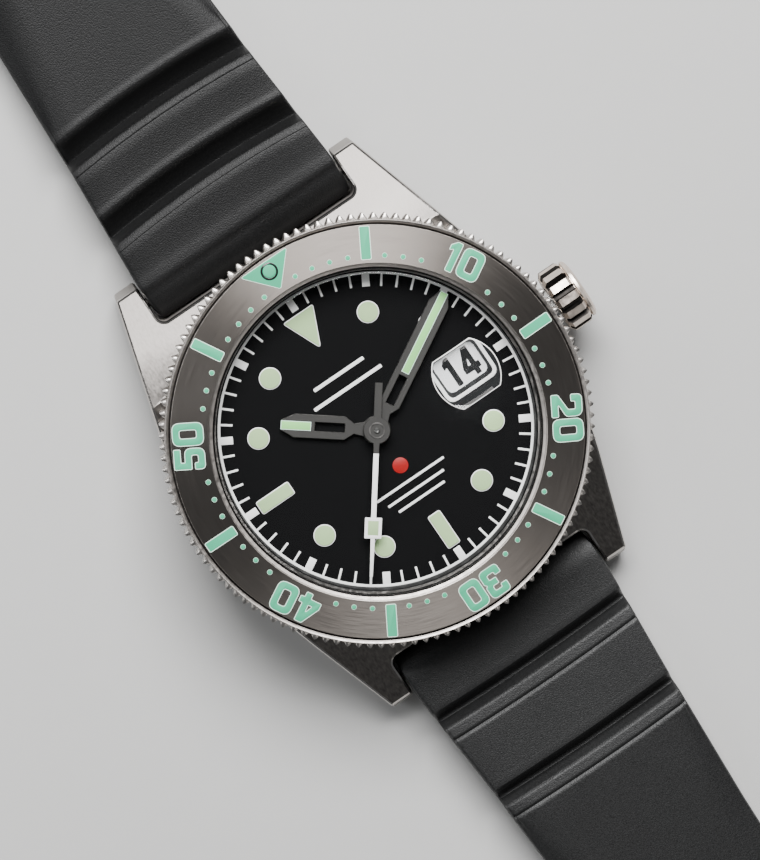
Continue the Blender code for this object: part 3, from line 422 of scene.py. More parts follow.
TITANIUM = (0.40, 0.375, 0.36)
LUG_TOP = brushed(
    "titanium_brushed", (0.165, 0.153, 0.143), 0.36, (5, 0.25, 5), 0.003, 1.6, 0.4, anisotropy=0.5
)
CASE_SIDE = brushed(
    "titanium_side", (0.36, 0.34, 0.32), 0.36, (0.5, 0.5, 10), 0.0010, 1.05, 0.95, across=(0, 0, 1)
)
POLISHED = polished("titanium_polished", (0.55, 0.52, 0.49), 0.14)
GRIP = polished("titanium_grip", (0.52, 0.49, 0.46), 0.3)
RIM = polished("titanium_rim", (0.40, 0.37, 0.345), 0.4)
CROWN_METAL = polished("crown_polished", (0.74, 0.65, 0.575), 0.36)
# Painted shade: a dark titanium for the spring bars in the lug gap, the grip's inner step and the crown's
# channels.
PAINTED_SHADE_METAL = polished("titanium_painted_shade", (0.035, 0.032, 0.03), 0.45)
INSERT = ring_brushed("insert_brushed", (0.19, 0.171, 0.155), 0.36, 0.0006, 1.04, 0.96, across=22)
BACK_METAL = ring_brushed("back_brushed", TITANIUM, 0.3)
STEEL = polished("steel", (0.6, 0.59, 0.57), 0.2)
STEEL_BRUSHED = brushed("steel_brushed", (0.5, 0.49, 0.48), 0.3, (0.6, 9, 9), 0.0008, 1.04, 0.96)
RHODIUM = brushed("rhodium_plate", (0.66, 0.66, 0.64), 0.32, (0.3, 2.2, 2))
BRASS = polished("brass_wheel", (0.72, 0.52, 0.24), 0.28)
BLUED = polished("blued_steel", (0.05, 0.09, 0.30), 0.22)
DIAL_BLACK = painted("dial_black", (0.0033, 0.0033, 0.0035), 0.55, 20, 0.0012, Specular_IOR_Level=0.05)
GLOSS_BLACK = painted("gloss_black", (0.006, 0.006, 0.006), 0.22, 10, 0.0004)
BLACK_PLASTIC = painted("black_plastic", (0.02, 0.02, 0.02), 0.5, 8, 0.002)
NITRILE = painted("nitrile", (0.02, 0.02, 0.02), 0.65, 9, 0.004)
PRINT_WHITE = painted("print_white", (0.86, 0.855, 0.83), 0.45, 18, 0.0015, 0.95, 1.03)
PRINT_BLACK = painted("print_black", (0.002, 0.002, 0.002), 0.5, 18, 0.001, Specular_IOR_Level=0.06)
PRINT_RED = painted("print_red", (0.27, 0.0013, 0.001), 0.42, 18, 0.0012)
DATE_WHITE = painted("date_white", (0.8, 0.8, 0.8), 0.42, 16, 0.001, 0.96, 1.03)
LUME = painted("lume_pale_green", (0.33, 0.47, 0.235), 0.6, 13, 0.004, 0.93, 1.07, Specular_IOR_Level=0.3)
HAND_LUME = painted("lume_hand_green", (0.24, 0.58, 0.19), 0.6, 13, 0.004, 0.93, 1.07, Specular_IOR_Level=0.3)
MINT = painted("lume_mint", (0.036, 0.35, 0.19), 0.6, 13, 0.004, 0.93, 1.07, Specular_IOR_Level=0.3)
MARK_EDGE = painted("mark_edge", (0.66, 0.86, 0.74), 0.4, 15, 0.001)
HAND_METAL = painted("hand_grey", (0.028, 0.0265, 0.0245), 0.45, 16, 0.0008, 0.92, 1.08)
HAND_EDGE = polished("hand_edge", (0.22, 0.21, 0.20), 0.3)
RUBBER = rubber("strap_rubber", (0.0030, 0.0030, 0.0031), 0.2)
# The lower strap's rubber is the same rubber with its colour raised: painted light, for the lower strap lying
# more in the light.
PAINTED_LIGHT_RUBBER = rubber("strap_rubber_painted_light", (0.0078, 0.0079, 0.0080), 0.34)
SAPPHIRE = clear("sapphire", (0.995, 0.998, 1.0), 0.015, 1.25)
LENS = clear("lens_sapphire", (1, 1, 1), 0.0, 2.05, bends=True)

# ---- CAD nodes that stay in view

SHOWN_AS = {
    "steel": STEEL,
    "brass": BRASS,
    "rhodium": RHODIUM,
    "blued_steel": BLUED,
    "black_plastic": BLACK_PLASTIC,
    "nitrile": NITRILE,
    "titanium": BACK_METAL,
    "dark_titanium": INSERT,
    "hand_grey": HAND_METAL,
    "white_paint": DATE_WHITE,
    "dial_black": DIAL_BLACK,
    "rubber": RUBBER,
    "sapphire": SAPPHIRE,
    "mint_lume": MINT,
}
for row in frame["record"]["subparts"]:
    node = frame["nodes"][row["node"]]
    node.data.materials.clear()
    # Spring bars get painted shade: dark metal, so they show no glint in the gap between strap and lug.
    node.data.materials.append(PAINTED_SHADE_METAL if "spring_bar" in row["node"] else SHOWN_AS[row["material_slot"]])


# ---- case

CASE_R = 19.5
CASE_TOP = 8.35
LUG_IN, LUG_OUT = 11.15, 13.5
LUG_TIP, LUG_FOOT = 23.4, 23.9
BREAK_Y = 13.5
SLOPE = (CASE_TOP - 3.7) / (LUG_TIP - BREAK_Y)
NECK_R = 16.9


def case_top(y):
    return CASE_TOP - max(0.0, abs(y) - BREAK_Y) * SLOPE


def case_outline(tip):
    """The case from above, counterclockwise, with its lugs ending at this distance."""
    lean = atan2(LUG_TIP, LUG_OUT) - acos(CASE_R / hypot(LUG_OUT, LUG_TIP))
    direction = Vector((-sin(lean), cos(lean)))
    tangent = Vector((CASE_R * cos(lean), CASE_R * sin(lean)))
    quarter = arc((0, 0), CASE_R, 0, degrees(lean), 24)
    to_tip = (tip - tangent.y) / direction.y
    to_break = (BREAK_Y - tangent.y) / direction.y
    for share in [to_break * 0.5, to_break, (to_break + to_tip) / 2]:
        quarter.append(tuple(tangent + direction * share))
    outer = tangent + direction * to_tip
    corner = rounded(
        [(outer.x - direction.x, outer.y - direction.y), tuple(outer), (LUG_IN, tip), (LUG_IN, tip - 1)],
        0.3, 4
    )
    quarter += corner[len(corner) // 4 : -len(corner) // 4]
    quarter += [(LUG_IN, 22.0)]
    quarter += arc((LUG_IN - 0.8, 20.1), 0.8, 0, -90, 10)
    quarter += [(8.0, 19.3), (5.5, 19.3), (2.5, 19.3)]
    upper = quarter + mirror_x(quarter)[:-1]
    return upper + [(-x, -y) for x, y in upper]


def inset(points, distance):
    """A loop moved inwards by a distance, for a counterclockwise loop."""
    out = []
    count = len(points)
    for i in range(count):
        before = Vector(points[i - 1])
        here = Vector(points[i])
        after = Vector(points[(i + 1) % count])
        d1 = (here - before).normalized()
        d2 = (after - here).normalized()
        n1, n2 = Vector((-d1.y, d1.x)), Vector((-d2.y, d2.x))
        miter = (n1 + n2).normalized()
        out.append(tuple(here + miter * (distance / max(0.5, miter.dot(n1)))))
    return out


def ring_angles():
    """Angles round the neck, with points where the lug slopes start."""
    turn = degrees(asin(BREAK_Y / NECK_R))
    quarter = list(np.linspace(0, turn, 14)) + list(np.linspace(turn, 90, 10))[1:]
    half = quarter + [180 - a for a in reversed(quarter[:-1])]
    return [radians(a) for a in half[:-1] + [a + 180 for a in half[:-1]]]


def make_case():
    verts, faces, kinds = [], [], []
    tops = case_outline(LUG_TIP)
    feet = case_outline(LUG_FOOT)
    chamfer = 0.26
    loops = [
        [(x, y, case_top(y)) for x, y in inset(tops, chamfer)],
        [(x, y, case_top(y) - 0.08) for x, y in inset(tops, 0.09)],
        [(x, y, case_top(y) - chamfer) for x, y in tops],
        [(x, y, 1.35) for x, y in feet],
        [(x, y, 1.0) for x, y in inset(feet, 0.12)],
        [(x, y, 0.9) for x, y in inset(feet, 0.4)],
    ]
    count = len(tops)
    for loop in loops:
        verts += loop
    for i, kind in enumerate((1, 1, 2, 1, 1)):
        for k in range(count):
            m = (k + 1) % count
            faces.append((i * count + k, i * count + m, (i + 1) * count + m, (i + 1) * count + k))
            kinds.append(kind)
    angles = ring_angles()
    inner = [
        (NECK_R, None), (NECK_R, 10.6), (15.85, 10.6), (15.85, 10.06), (15.15, 10.06), (15.15, 9.66),
        (15.65, 9.66), (15.65, 2.4), (15.9, 2.4), (15.9, 1.4), (17.3, 1.4), (17.3, 0.9),
    ]
    first = len(verts)
    for r, z in inner:
        verts += [(r * cos(a), r * sin(a), case_top(r * sin(a)) if z is None else z) for a in angles]
    around = len(angles)
    for i in range(len(inner) - 1):
        for k in range(around):
            m = (k + 1) % around
            faces.append(
                (
                    first + i * around + k, first + i * around + m, first + (i + 1) * around + m, first
                    + (i + 1) * around + k
                )
            )
            kinds.append(2)
    top_and_bottom = ((0, first), ((len(loops) - 1) * count, first + (len(inner) - 1) * around))
    for outer_start, inner_start in top_and_bottom:
        outer_ids = list(range(outer_start, outer_start + count))
        inner_ids = list(range(inner_start, inner_start + around))
        flat = [[Vector((*verts[i][:2], 0)) for i in ids] for ids in (outer_ids, inner_ids)]
        ids = outer_ids + inner_ids
        for a, b, c in tessellate_polygon(flat):
            faces.append((ids[a], ids[b], ids[c]))
            kinds.append(0)
    mesh = bpy.data.meshes.new("case_body")
    mesh.from_pydata(verts, [], faces)
    mesh.polygons.foreach_set("material_index", kinds)
    work = bmesh.new()
    work.from_mesh(mesh)
    for y in (-BREAK_Y, BREAK_Y):
        bmesh.ops.bisect_plane(
            work, geom=work.verts[:] + work.edges[:] + work.faces[:], dist=1e-5, plane_co=(0, y, 0),
            plane_no=(0, 1, 0)
        )
    for vertex in work.verts:
        on_top = [f for f in vertex.link_faces if f.material_index == 0]
        if on_top and len(on_top) == len(vertex.link_faces) and vertex.co.z > 2:
            vertex.co.z = case_top(vertex.co.y)
    bmesh.ops.recalc_face_normals(work, faces=work.faces)
    bmesh.ops.scale(work, verts=work.verts, vec=(MM, MM, MM))
    work.to_mesh(mesh)
    work.free()
    kinds = [p.material_index for p in mesh.polygons]
    case = to_object("case_body", mesh, [LUG_TOP, POLISHED, CASE_SIDE], "case", 12, kinds)
    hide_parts("case_middle")


make_case()

# ---- bezel

TEETH = 120
PIP_Y = 18.2
INSERT_IN, INSERT_OUT = 15.9, 19.42


def insert_top(radius):
    return 11.45 + (INSERT_OUT - radius) / (INSERT_OUT - INSERT_IN) * 0.3


def on_insert(x, y):
    return insert_top(hypot(x, y))


def tooth(angle):
    """Height of the grip's rounded teeth, from 0 to 1."""
    phase = (angle / TURN * TEETH + 0.5) % 1.0 - 0.5
    return max(0.0, 1.0 - abs(phase / 0.5) ** 1.5)


def make_grip():
    profile = [
        (19.9, 8.55), (19.9, 8.75), (19.9, 9.6), (19.9, 10.46), (19.9, 10.6), (19.95, 10.6), (19.95, 11.4),
        (19.91, 11.47),
        (19.87, 11.49), (19.78, 11.458), (19.67, 11.37), (19.62, 11.33), (19.62, 10.9), (16.0, 10.9),
        (16.0, 10.7), (17.5, 10.7), (17.5, 8.55),
    ]
    height = {0: (19.6, 0.6), 1: (19.72, 0.76), 2: (19.72, 0.76), 3: (19.72, 0.76), 4: (19.72, 0.5)}

    def reach(angle, i):
        if i not in height:
            return None
        base, tall = height[i]
        return base + tall * tooth(angle)

    mesh = lathe("bezel_grip", profile, TEETH * 12, True, reach)
    kinds = []
    for polygon in mesh.polygons:
        radius = hypot(polygon.center.x, polygon.center.y) / MM
        # The grip's inner step and hidden underside get painted shade, the dark line between rim and insert.
        if radius < 19.64:
            kinds.append(2)
        else:
            kinds.append(0 if polygon.center.z / MM < 10.7 else 1)
    grip = to_object("bezel_grip", mesh, [GRIP, RIM, PAINTED_SHADE_METAL], "bezel", 40, kinds)
    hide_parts("bezel_ring")
    profile = [
        (INSERT_OUT, 10.95), (INSERT_OUT, 11.42), (INSERT_OUT - 0.04, 11.452), (15.88, insert_top(15.88)),
        (15.79, 11.69),
        (15.77, 11.46), (15.74, 11.45), (15.5, 11.37), (15.47, 11.33), (15.47, 10.95),
    ]
    mesh = lathe("bezel_insert_plate", profile, 360)
    kinds = [0 if p.normal.z > 0.98 else 1 for p in mesh.polygons]
    plate_piece = to_object("bezel_insert_plate", mesh, [INSERT, RIM], "bezel", 20, kinds)
    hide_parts("bezel_insert")


DIGITS = {
    "0": (
        [(-1.07, -1.45), (1.07, -1.45), (1.07, 1.45), (-1.07, 1.45)], 0.72,
        [[(-0.4, -0.8), (0.4, -0.8), (0.4, 0.8), (-0.4, 0.8)]]
    ),
    "1": (
        [
            (0.42, -1.45), (0.42, 1.45), (-0.1, 1.45), (-0.62, 0.98), (-0.62, 0.42), (-0.23, 0.72),
            (-0.23, -1.45)
        ],
        0.14, None
    ),
    "2": (
        [
            (-1.03, 0.42), (-1.03, 1.45), (1.03, 1.45), (1.03, -0.1), (-0.2, -0.82), (1.05, -0.82),
            (1.05, -1.45), (-1.05, -1.45), (-1.05, -0.8), (0.38, 0.12), (0.38, 0.82), (-0.38, 0.82),
            (-0.38, 0.42)
        ],
        [0.15, 0.7, 0.7, 0.5, 0.1, 0.14, 0.14, 0.14, 0.3, 0.2, 0.2, 0.2, 0.12],
        None,
    ),
    "3": (
        [
            (-1.0, 0.5), (-1.0, 1.45), (1.02, 1.45), (1.02, 0.2), (0.82, 0.0), (1.02, -0.2), (1.02, -1.45),
            (-1.0, -1.45), (-1.0, -0.5), (-0.37, -0.5), (-0.37, -0.83), (0.38, -0.83), (0.38, -0.31),
            (-0.3, -0.31), (-0.3, 0.31), (0.38, 0.31), (0.38, 0.83), (-0.37, 0.83), (-0.37, 0.5)
        ],
        [
            0.12, 0.7, 0.7, 0.2, 0.05, 0.2, 0.7, 0.7, 0.12, 0.12, 0.2, 0.2, 0.15, 0.1, 0.1, 0.15, 0.2, 0.2,
            0.12
        ],
        None,
    ),
    "4": (
        [
            (-0.1, 1.45), (0.62, 1.45), (0.62, -0.34), (1.0, -0.34), (1.0, -0.93), (0.62, -0.93),
            (0.62, -1.45), (0.0, -1.45), (0.0, -0.93), (-1.1, -0.93), (-1.1, -0.35)
        ],
        0.12,
        [[(0.0, 0.5), (0.0, -0.34), (-0.42, -0.34)]],
    ),
    "5": (
        [
            (-0.98, -0.5), (-0.98, -1.45), (1.0, -1.45), (1.0, 0.42), (-0.34, 0.42), (-0.34, 0.82),
            (0.92, 0.82), (0.92, 1.45), (-0.97, 1.45), (-0.97, -0.19), (0.37, -0.19), (0.37, -0.83),
            (-0.36, -0.83), (-0.36, -0.5)
        ],
        [0.12, 0.68, 0.68, 0.66, 0.1, 0.12, 0.12, 0.12, 0.14, 0.14, 0.22, 0.22, 0.2, 0.12],
        None,
    ),
    "6": (
        [
            (-1.05, -1.45), (1.05, -1.45), (1.05, 0.42), (-0.38, 0.42), (-0.38, 0.82), (0.95, 0.82),
            (0.95, 1.45), (-1.05, 1.45)
        ],
        [0.6, 0.6, 0.6, 0.1, 0.15, 0.12, 0.12, 0.6],
        [[(-0.38, -0.83), (0.38, -0.83), (0.38, -0.2), (-0.38, -0.2)]],
    ),
    "7": (
        [(-1.0, 1.45), (1.03, 1.45), (1.03, 0.75), (0.05, -1.45), (-0.68, -1.45), (0.25, 0.82), (-1.0, 0.82)],
        0.12, None
    ),
    "8": (
        [
            (-1.05, -1.45), (1.05, -1.45), (1.05, -0.2), (0.9, 0.0), (1.05, 0.2), (1.05, 1.45),
            (-1.05, 1.45), (-1.05, 0.2), (-0.9, 0.0), (-1.05, -0.2)
        ],
        [0.6, 0.6, 0.2, 0.05, 0.2, 0.6, 0.6, 0.2, 0.05, 0.2],
        [
            [(-0.38, -0.83), (0.38, -0.83), (0.38, -0.31), (-0.38, -0.31)],
            [(-0.38, 0.31), (0.38, 0.31), (0.38, 0.83), (-0.38, 0.83)]
        ],
    ),
}
outline, corners, holes = DIGITS["6"]
DIGITS["9"] = ([(-x, -y) for x, y in outline], corners, [[(-x, -y) for x, y in hole] for hole in holes])


def digit(symbol, clockwise, at, wide=1.0, tall=1.0):
    outline, radius, holes = DIGITS[symbol]
    loops = [rounded(outline, radius, 6)]
    loops += [rounded(hole, 0.25 if symbol == "0" else 0.08, 4) for hole in holes or []]
    return [turned_by([(x * wide + at[0], y * tall + at[1]) for x, y in loop], clockwise) for loop in loops]


def marked(
    name, shapes, body, height=0.03, edge=0.065, lume=MINT, edge_material=MARK_EDGE, drape=on_insert,
    low=-0.04
):
    """Luminous marks with a pale edge: the edge is a little lower and wider than the paint."""
    inner = plate(name, shapes, low, height, 0.012, -edge / 2, 1, drape)
    outer = plate(name + "_edge", shapes, low, height - 0.012, 0.0, edge / 2, 0, drape)
    to_object(name, inner, lume, body)
    to_object(name + "_edge", outer, edge_material, body)


def make_marks():
    numerals, bars, dots = [], [], []
    for number, symbols in ((10, "10"), (20, "20"), (30, "30"), (40, "40"), (50, "50")):
        spread = 0.86 if symbols[0] == "1" else 1.12
        numerals.append(digit(symbols[0], 6 * number, (-spread - 0.04, 17.78)))
        numerals.append(digit(symbols[1], 6 * number, (spread + 0.04 if symbols[0] != "1" else 0.92, 17.78)))
    for minute in (5, 15, 25, 35, 45, 55):
        bars.append([turned_by(box(0.48, 1.55, (0, 17.75), 0.16), 6 * minute)])
    for minute in range(60):
        if minute % 5 and not (8 < minute < 52 and minute % 10 in (1, 9)):
            dots.append([turned_by(circle(0.235, 20, (0, 16.56)), 6 * minute)])
    marked("bezel_numerals", numerals, "bezel")
    marked("bezel_bars", bars, "bezel")
    marked("bezel_dots", dots, "bezel", edge=0.025)
    triangle = rounded([(-2.6, 19.17), (0, 16.25), (2.6, 19.17)][::-1], [0.15, 0.22, 0.15], 5)
    marked("bezel_triangle", [[triangle]], "bezel", edge=0.04)
    well = plate(
        "pip_well", [[circle(0.83, 48, (0, PIP_Y)), circle(0.63, 48, (0, PIP_Y))]], 0.0, 0.055, 0.012, 0, 1,
        on_insert
    )
    to_object("pip_well", well, GLOSS_BLACK, "bezel")
    dome = [(0.625, -0.02), (0.625, 0.05), (0.6, 0.085), (0.5, 0.11), (0.3, 0.13), (0.0, 0.14)]
    mesh = lathe("bezel_pip_dome", dome, 48, False)
    move_mesh(mesh, Matrix.Translation((0, PIP_Y * MM, insert_top(PIP_Y) * MM)))
    pip = to_object("bezel_pip_dome", mesh, MINT, "bezel", 50)
    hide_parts("bezel_pip")


make_grip()
make_marks()

# ---- crystal, rehaut and magnifier


def make_crystal():
    profile = [
        (0, 12.2), (14.95, 12.2), (15.02, 12.18), (15.27, 11.95), (15.3, 11.85), (15.3, 10.15), (0, 10.15),
    ]
    mesh = lathe("crystal_plate", profile, 256, False)
    crystal = to_object("crystal_plate", mesh, SAPPHIRE, "case", 15)
    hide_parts("crystal")
    gasket = [(15.34, 10.15), (15.34, 11.46), (15.36, 11.5), (15.4, 11.5), (15.42, 11.46), (15.42, 10.15)]
    seal = to_object(
        "crystal_seal", lathe("crystal_seal", gasket, 256), PRINT_BLACK, "case", 40
    )
    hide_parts("crystal_gasket")
    wall = [
        (15.12, 10.04), (15.02, 10.0), (14.96, 9.2), (14.9, 8.56), (15.55, 8.56), (15.55, 9.55),
        (15.12, 9.55)
    ]
    rehaut = to_object(
        "rehaut_wall", lathe("rehaut_wall", wall, 256), PRINT_BLACK, "case", 40
    )
    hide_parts("rehaut_ring")


LENS_X = 9.85
LENS_HALF_X, LENS_HALF_Y = 3.15, 2.65
LENS_BOW = 3.7
LENS_RADIUS = 12.5
LENS_CROWN = 12.95


def lens_outline():
    reach = degrees(asin(LENS_HALF_Y / LENS_BOW))
    right = arc((LENS_X + LENS_HALF_X - LENS_BOW, 0), LENS_BOW, -reach, reach, 14)
    loop = right + [(2 * LENS_X - x, -y) for x, y in right]
    return spaced(rounded(loop, 0.12, 2), 0.22)


def lens_top(x, y):
    return LENS_CROWN - LENS_RADIUS + sqrt(LENS_RADIUS**2 - (x - LENS_X) ** 2 - y**2)


def make_magnifier():
    """A lens ground as part of a sphere and cut straight down round its edge. The pale line round its edge is
    a painted highlight, and the black on its sides is painted, standing in for the dark dial seen through the
    glass edge.
    """
    outline = lens_outline()
    count = len(outline)
    verts = []
    shares = [1 - k / 24 for k in range(24)]
    for share in reversed(shares):
        verts += [(LENS_X + (x - LENS_X) * share, y * share, 12.21) for x, y in outline]
    for share in shares:
        for x, y in outline:
            px, py = LENS_X + (x - LENS_X) * share, y * share
            verts.append((px, py, lens_top(px, py)))
    mesh = grid("date_lens", verts, 2 * len(shares), count, False, True)
    # The lens sides are painted black, standing in for the dark dial seen through the glass edge.
    kinds = [1 if abs(p.normal.z) < 0.2 else 0 for p in mesh.polygons]
    lens = to_object("date_lens", mesh, [LENS, PRINT_BLACK], "case", 50, kinds)
    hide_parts("date_magnifier")
    # A painted highlight: a pale ring standing in for the bright chamfer round the lens edge.
    verts = []
    for share, lift_by in (
        (1.0, 0.004), (1.004, -0.06), (1.014, -0.06), (1.014, 0.012), (0.986, 0.012), (0.986, 0.004)
    ):
        for x, y in outline:
            px, py = LENS_X + (x - LENS_X) * share, y * share
            verts.append((px, py, max(12.215, lens_top(px, py) + lift_by)))
    rim = grid("date_lens_painted_highlight", verts, 6, count, True)
    to_object("date_lens_painted_highlight", rim, PRINT_WHITE, "case", 40)


make_crystal()
make_magnifier()

# ---- dial

DIAL_TOP = 8.5


def flat(_x, _y):
    return DIAL_TOP


def printed(name, shapes, material, height=0.02, bevel=0.004):
    return to_object(name, plate(name, shapes, 0.0, height, bevel, 0, 1, flat), material, "case")


def make_dial():
    ticks = []
    for minute in range(60):
        if minute % 5:
            ticks.append([turned_by(box(0.1, 0.6, (0, 14.12)), 6 * minute)])
        else:
            ticks.append([turned_by(box(0.36, 0.62, (0, 14.12)), 6 * minute)])
    printed("minute_ticks", ticks, PRINT_WHITE)
    printed("minute_ring", [[circle(14.93, 240), circle(14.66, 240)]], PRINT_WHITE, height=0.024)
    plots, frames = [], []
    for hour in (1, 2, 4, 5, 7, 8, 10, 11):
        plots.append([turned_by(circle(0.9 if hour == 2 else 1.02, 48, (0, 11.1)), 30 * hour)])
    for hour in (6, 9):
        plots.append([turned_by(box(0.66, 1.8, (0, 11.45), 0.2), 30 * hour)])
    plots.append([rounded([(-1.68, 13.15), (0, 9.3), (1.68, 13.15)][::-1], [0.18, 0.2, 0.18], 5)])
    inner = plate("hour_plots", plots, 0.0, 0.16, 0.05, -0.05, 3, flat)
    outer = plate("hour_plot_rims", plots, 0.0, 0.1, 0.03, 0.03, 2, flat)
    to_object("hour_plots", inner, LUME, "case", 60)
    to_object("hour_plot_rims", outer, PRINT_WHITE, "case", 60)
    upper = [[box(2.8, 0.17, (0, 6.3), 0.08)], [box(3.8, 0.17, (0, 4.75), 0.08)]]
    lower = [
        [box(3.8, 0.12, (0, -5.75), 0.06)], [box(3.15, 0.12, (0, -6.75), 0.06)],
        [box(2.6, 0.12, (0, -7.7), 0.06)]
    ]
    printed("dial_lines", upper + lower, PRINT_WHITE)
    printed("dial_disc_mark", [[circle(0.75, 40, (0, -4.1))]], PRINT_RED)
    frame_shape = [box(1.85, 1.5, (9.9, 0), 0.6, 8), box(1.62, 1.27, (9.9, 0), 0.42, 8)]
    printed("date_frame", [frame_shape], PRINT_WHITE, height=0.06, bevel=0.02)
    verts = []
    for half_x, half_y, radius, z in (
        (1.62, 1.27, 0.42, 8.53), (1.62, 1.27, 0.42, 7.95), (1.34, 1.0, 0.4, 7.95), (1.40, 1.06, 0.4, 8.1)
    ):
        verts += [(x, y, z) for x, y in box(half_x, half_y, (9.9, 0), radius, 8)]
    edge = grid("date_bevel", verts, 4, len(verts) // 4, True)
    to_object("date_bevel", edge, PRINT_BLACK, "case", 40)


def make_date_numbers():
    """The printed face of the date disc and its thirty-one numbers, each upright when it is at 3 o'clock."""
    face = plate("date_face", [[circle(11.5, 124), circle(8.3, 124)]], 7.852, 7.866)
    to_object("date_face", face, DATE_WHITE, "date")
    shapes = []
    for day in range(1, 32):
        for i, symbol in enumerate(str(day)):
            across = (i - (len(str(day)) - 1) / 2) * 1.14
            shapes.append(digit(symbol, 360 * (14 - day) / 31, (9.93 + across, 0), 0.49, 0.61))
    mesh = plate("date_numbers", shapes, 7.86, 7.884)
    to_object("date_numbers", mesh, PRINT_BLACK, "date")


make_dial()
make_date_numbers()

# ---- hands

HOUR_ANGLE, MINUTE_ANGLE, SECONDS_ANGLE = 307.5, 60.2, 216.3


def lift(height):
    return lambda _x, _y: height


def hub(radius, neck):
    """The right side of a hub from its tail up to where its neck of this half width leaves it."""
    return arc((0, 0), radius, -90, degrees(acos(neck / radius)), 18)


def hand(name, side, holes, low, high, clockwise, body, node, bevel=0.05):
    outline = side + mirror_x(side)
    loops = [turned_by(loop, clockwise) for loop in [outline] + holes]
    mesh = plate(name, [loops], 0, high - low, bevel, 0, 0, lift(low))
    kinds = [0 if abs(p.normal.z) > 0.95 else 1 for p in mesh.polygons]
    piece = to_object(name, mesh, [HAND_METAL, HAND_EDGE], body, 25, kinds)
    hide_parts(node)


def fill(name, shape, low, high, clockwise, body, material, edge=0.0):
    mesh = plate(name, [[turned_by(shape, clockwise)]], 0, high - low, 0.02, -edge, 1, lift(low))
    to_object(name, mesh, material, body, 50)
    if edge:
        mesh = plate(
            name + "_edge", [[turned_by(shape, clockwise)]], 0, high - low - 0.02, 0, 0, 1, lift(low)
        )
        to_object(name + "_edge", mesh, MARK_EDGE, body, 50)


def make_hands():
    bore = circle(1.15, 48)
    side = hub(1.35, 0.5)[:-1] + [(0.5, 2.1), (1.12, 3.0), (1.12, 7.75), (0.5, 9.0)]
    window = box(0.42, 1.4, (0, 4.4))
    hand("hour_hand_body", side, [window, bore], 8.85, 9.06, HOUR_ANGLE, "hours", "hour_hand")
    fill(
        "hour_hand_lume", box(0.42, 1.42, (0, 7.6)), 8.9, 9.1, HOUR_ANGLE, "hours", HAND_LUME,
        0.05
    )
    bore = circle(0.85, 48)
    side = hub(1.3, 0.46)[:-1] + [(0.46, 1.9), (1.0, 2.75), (1.0, 13.2), (0.45, 14.4)]
    window = box(0.4, 1.45, (0, 4.2))
    hand("minute_hand_body", side, [window, bore], 9.25, 9.46, MINUTE_ANGLE, "minutes", "minute_hand")
    fill(
        "minute_hand_lume", box(0.38, 4.2, (0, 10.2)), 9.3, 9.5, MINUTE_ANGLE, "minutes", HAND_LUME,
        0.05
    )
    side = [(0.36, -4.5), (0.36, -1.3)] + arc((0, 0), 1.25, -70, 76, 24) + [(0.27, 1.6), (0.27, 2.2)]
    outline = side + mirror_x(side)
    loops = [turned_by(outline, SECONDS_ANGLE), circle(0.26, 24)]
    mesh = plate("seconds_hand_body", [loops], 0, 0.16, 0.04, 0, 0, lift(9.64))
    body = to_object("seconds_hand_body", mesh, HAND_METAL, "seconds", 25)
    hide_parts("seconds_hand")
    needle = [(-0.25, 2.15), (0.25, 2.15), (0.24, 8.3), (0.14, 13.8), (-0.14, 13.8), (-0.24, 8.3)]
    fill("seconds_needle", needle, 9.655, 9.795, SECONDS_ANGLE, "seconds", PRINT_WHITE)
    frame_loop = [
        turned_by(box(0.8, 0.98, (0, 9.2), 0.06), SECONDS_ANGLE),
        turned_by(box(0.5, 0.68, (0, 9.2)), SECONDS_ANGLE)
    ]
    mesh = plate("seconds_frame", [frame_loop], 0, 0.17, 0.02, 0, 1, lift(9.64))
    to_object("seconds_frame", mesh, PRINT_WHITE, "seconds", 50)
    fill("seconds_lume", box(0.5, 0.68, (0, 9.2)), 9.66, 9.8, SECONDS_ANGLE, "seconds", LUME)
    pin = [(0.27, 9.3), (0.27, 9.86), (0.22, 9.92), (0.1, 9.93), (0.08, 9.88), (0, 9.88)]
    to_object("centre_pin", lathe("centre_pin", pin, 32, False), STEEL, "seconds", 40)
    ring_profile = [(0.62, 9.8), (0.62, 9.83), (0.7, 9.84), (0.76, 9.83), (0.76, 9.8)]
    to_object(
        "seconds_collar", lathe("seconds_collar", ring_profile, 48), HAND_EDGE, "seconds", 40
    )


make_hands()

# ---- crown

STEM_Z = 5.4
FLUTES = 14


def fluted(ridge, valley, x):
    """A ring of flat-topped ridges between channels, as points in (r cos, r sin, x)."""
    points = []
    for flute in range(FLUTES):
        for turn, radius in (
            (-9.6, valley), (-6.6, ridge), (0, ridge * cos(radians(6.6))), (6.6, ridge), (9.6, valley),
            (12.857, valley)
        ):
            a = TURN * flute / FLUTES + radians(turn)
            points.append((radius * cos(a), radius * sin(a), x))
    return points


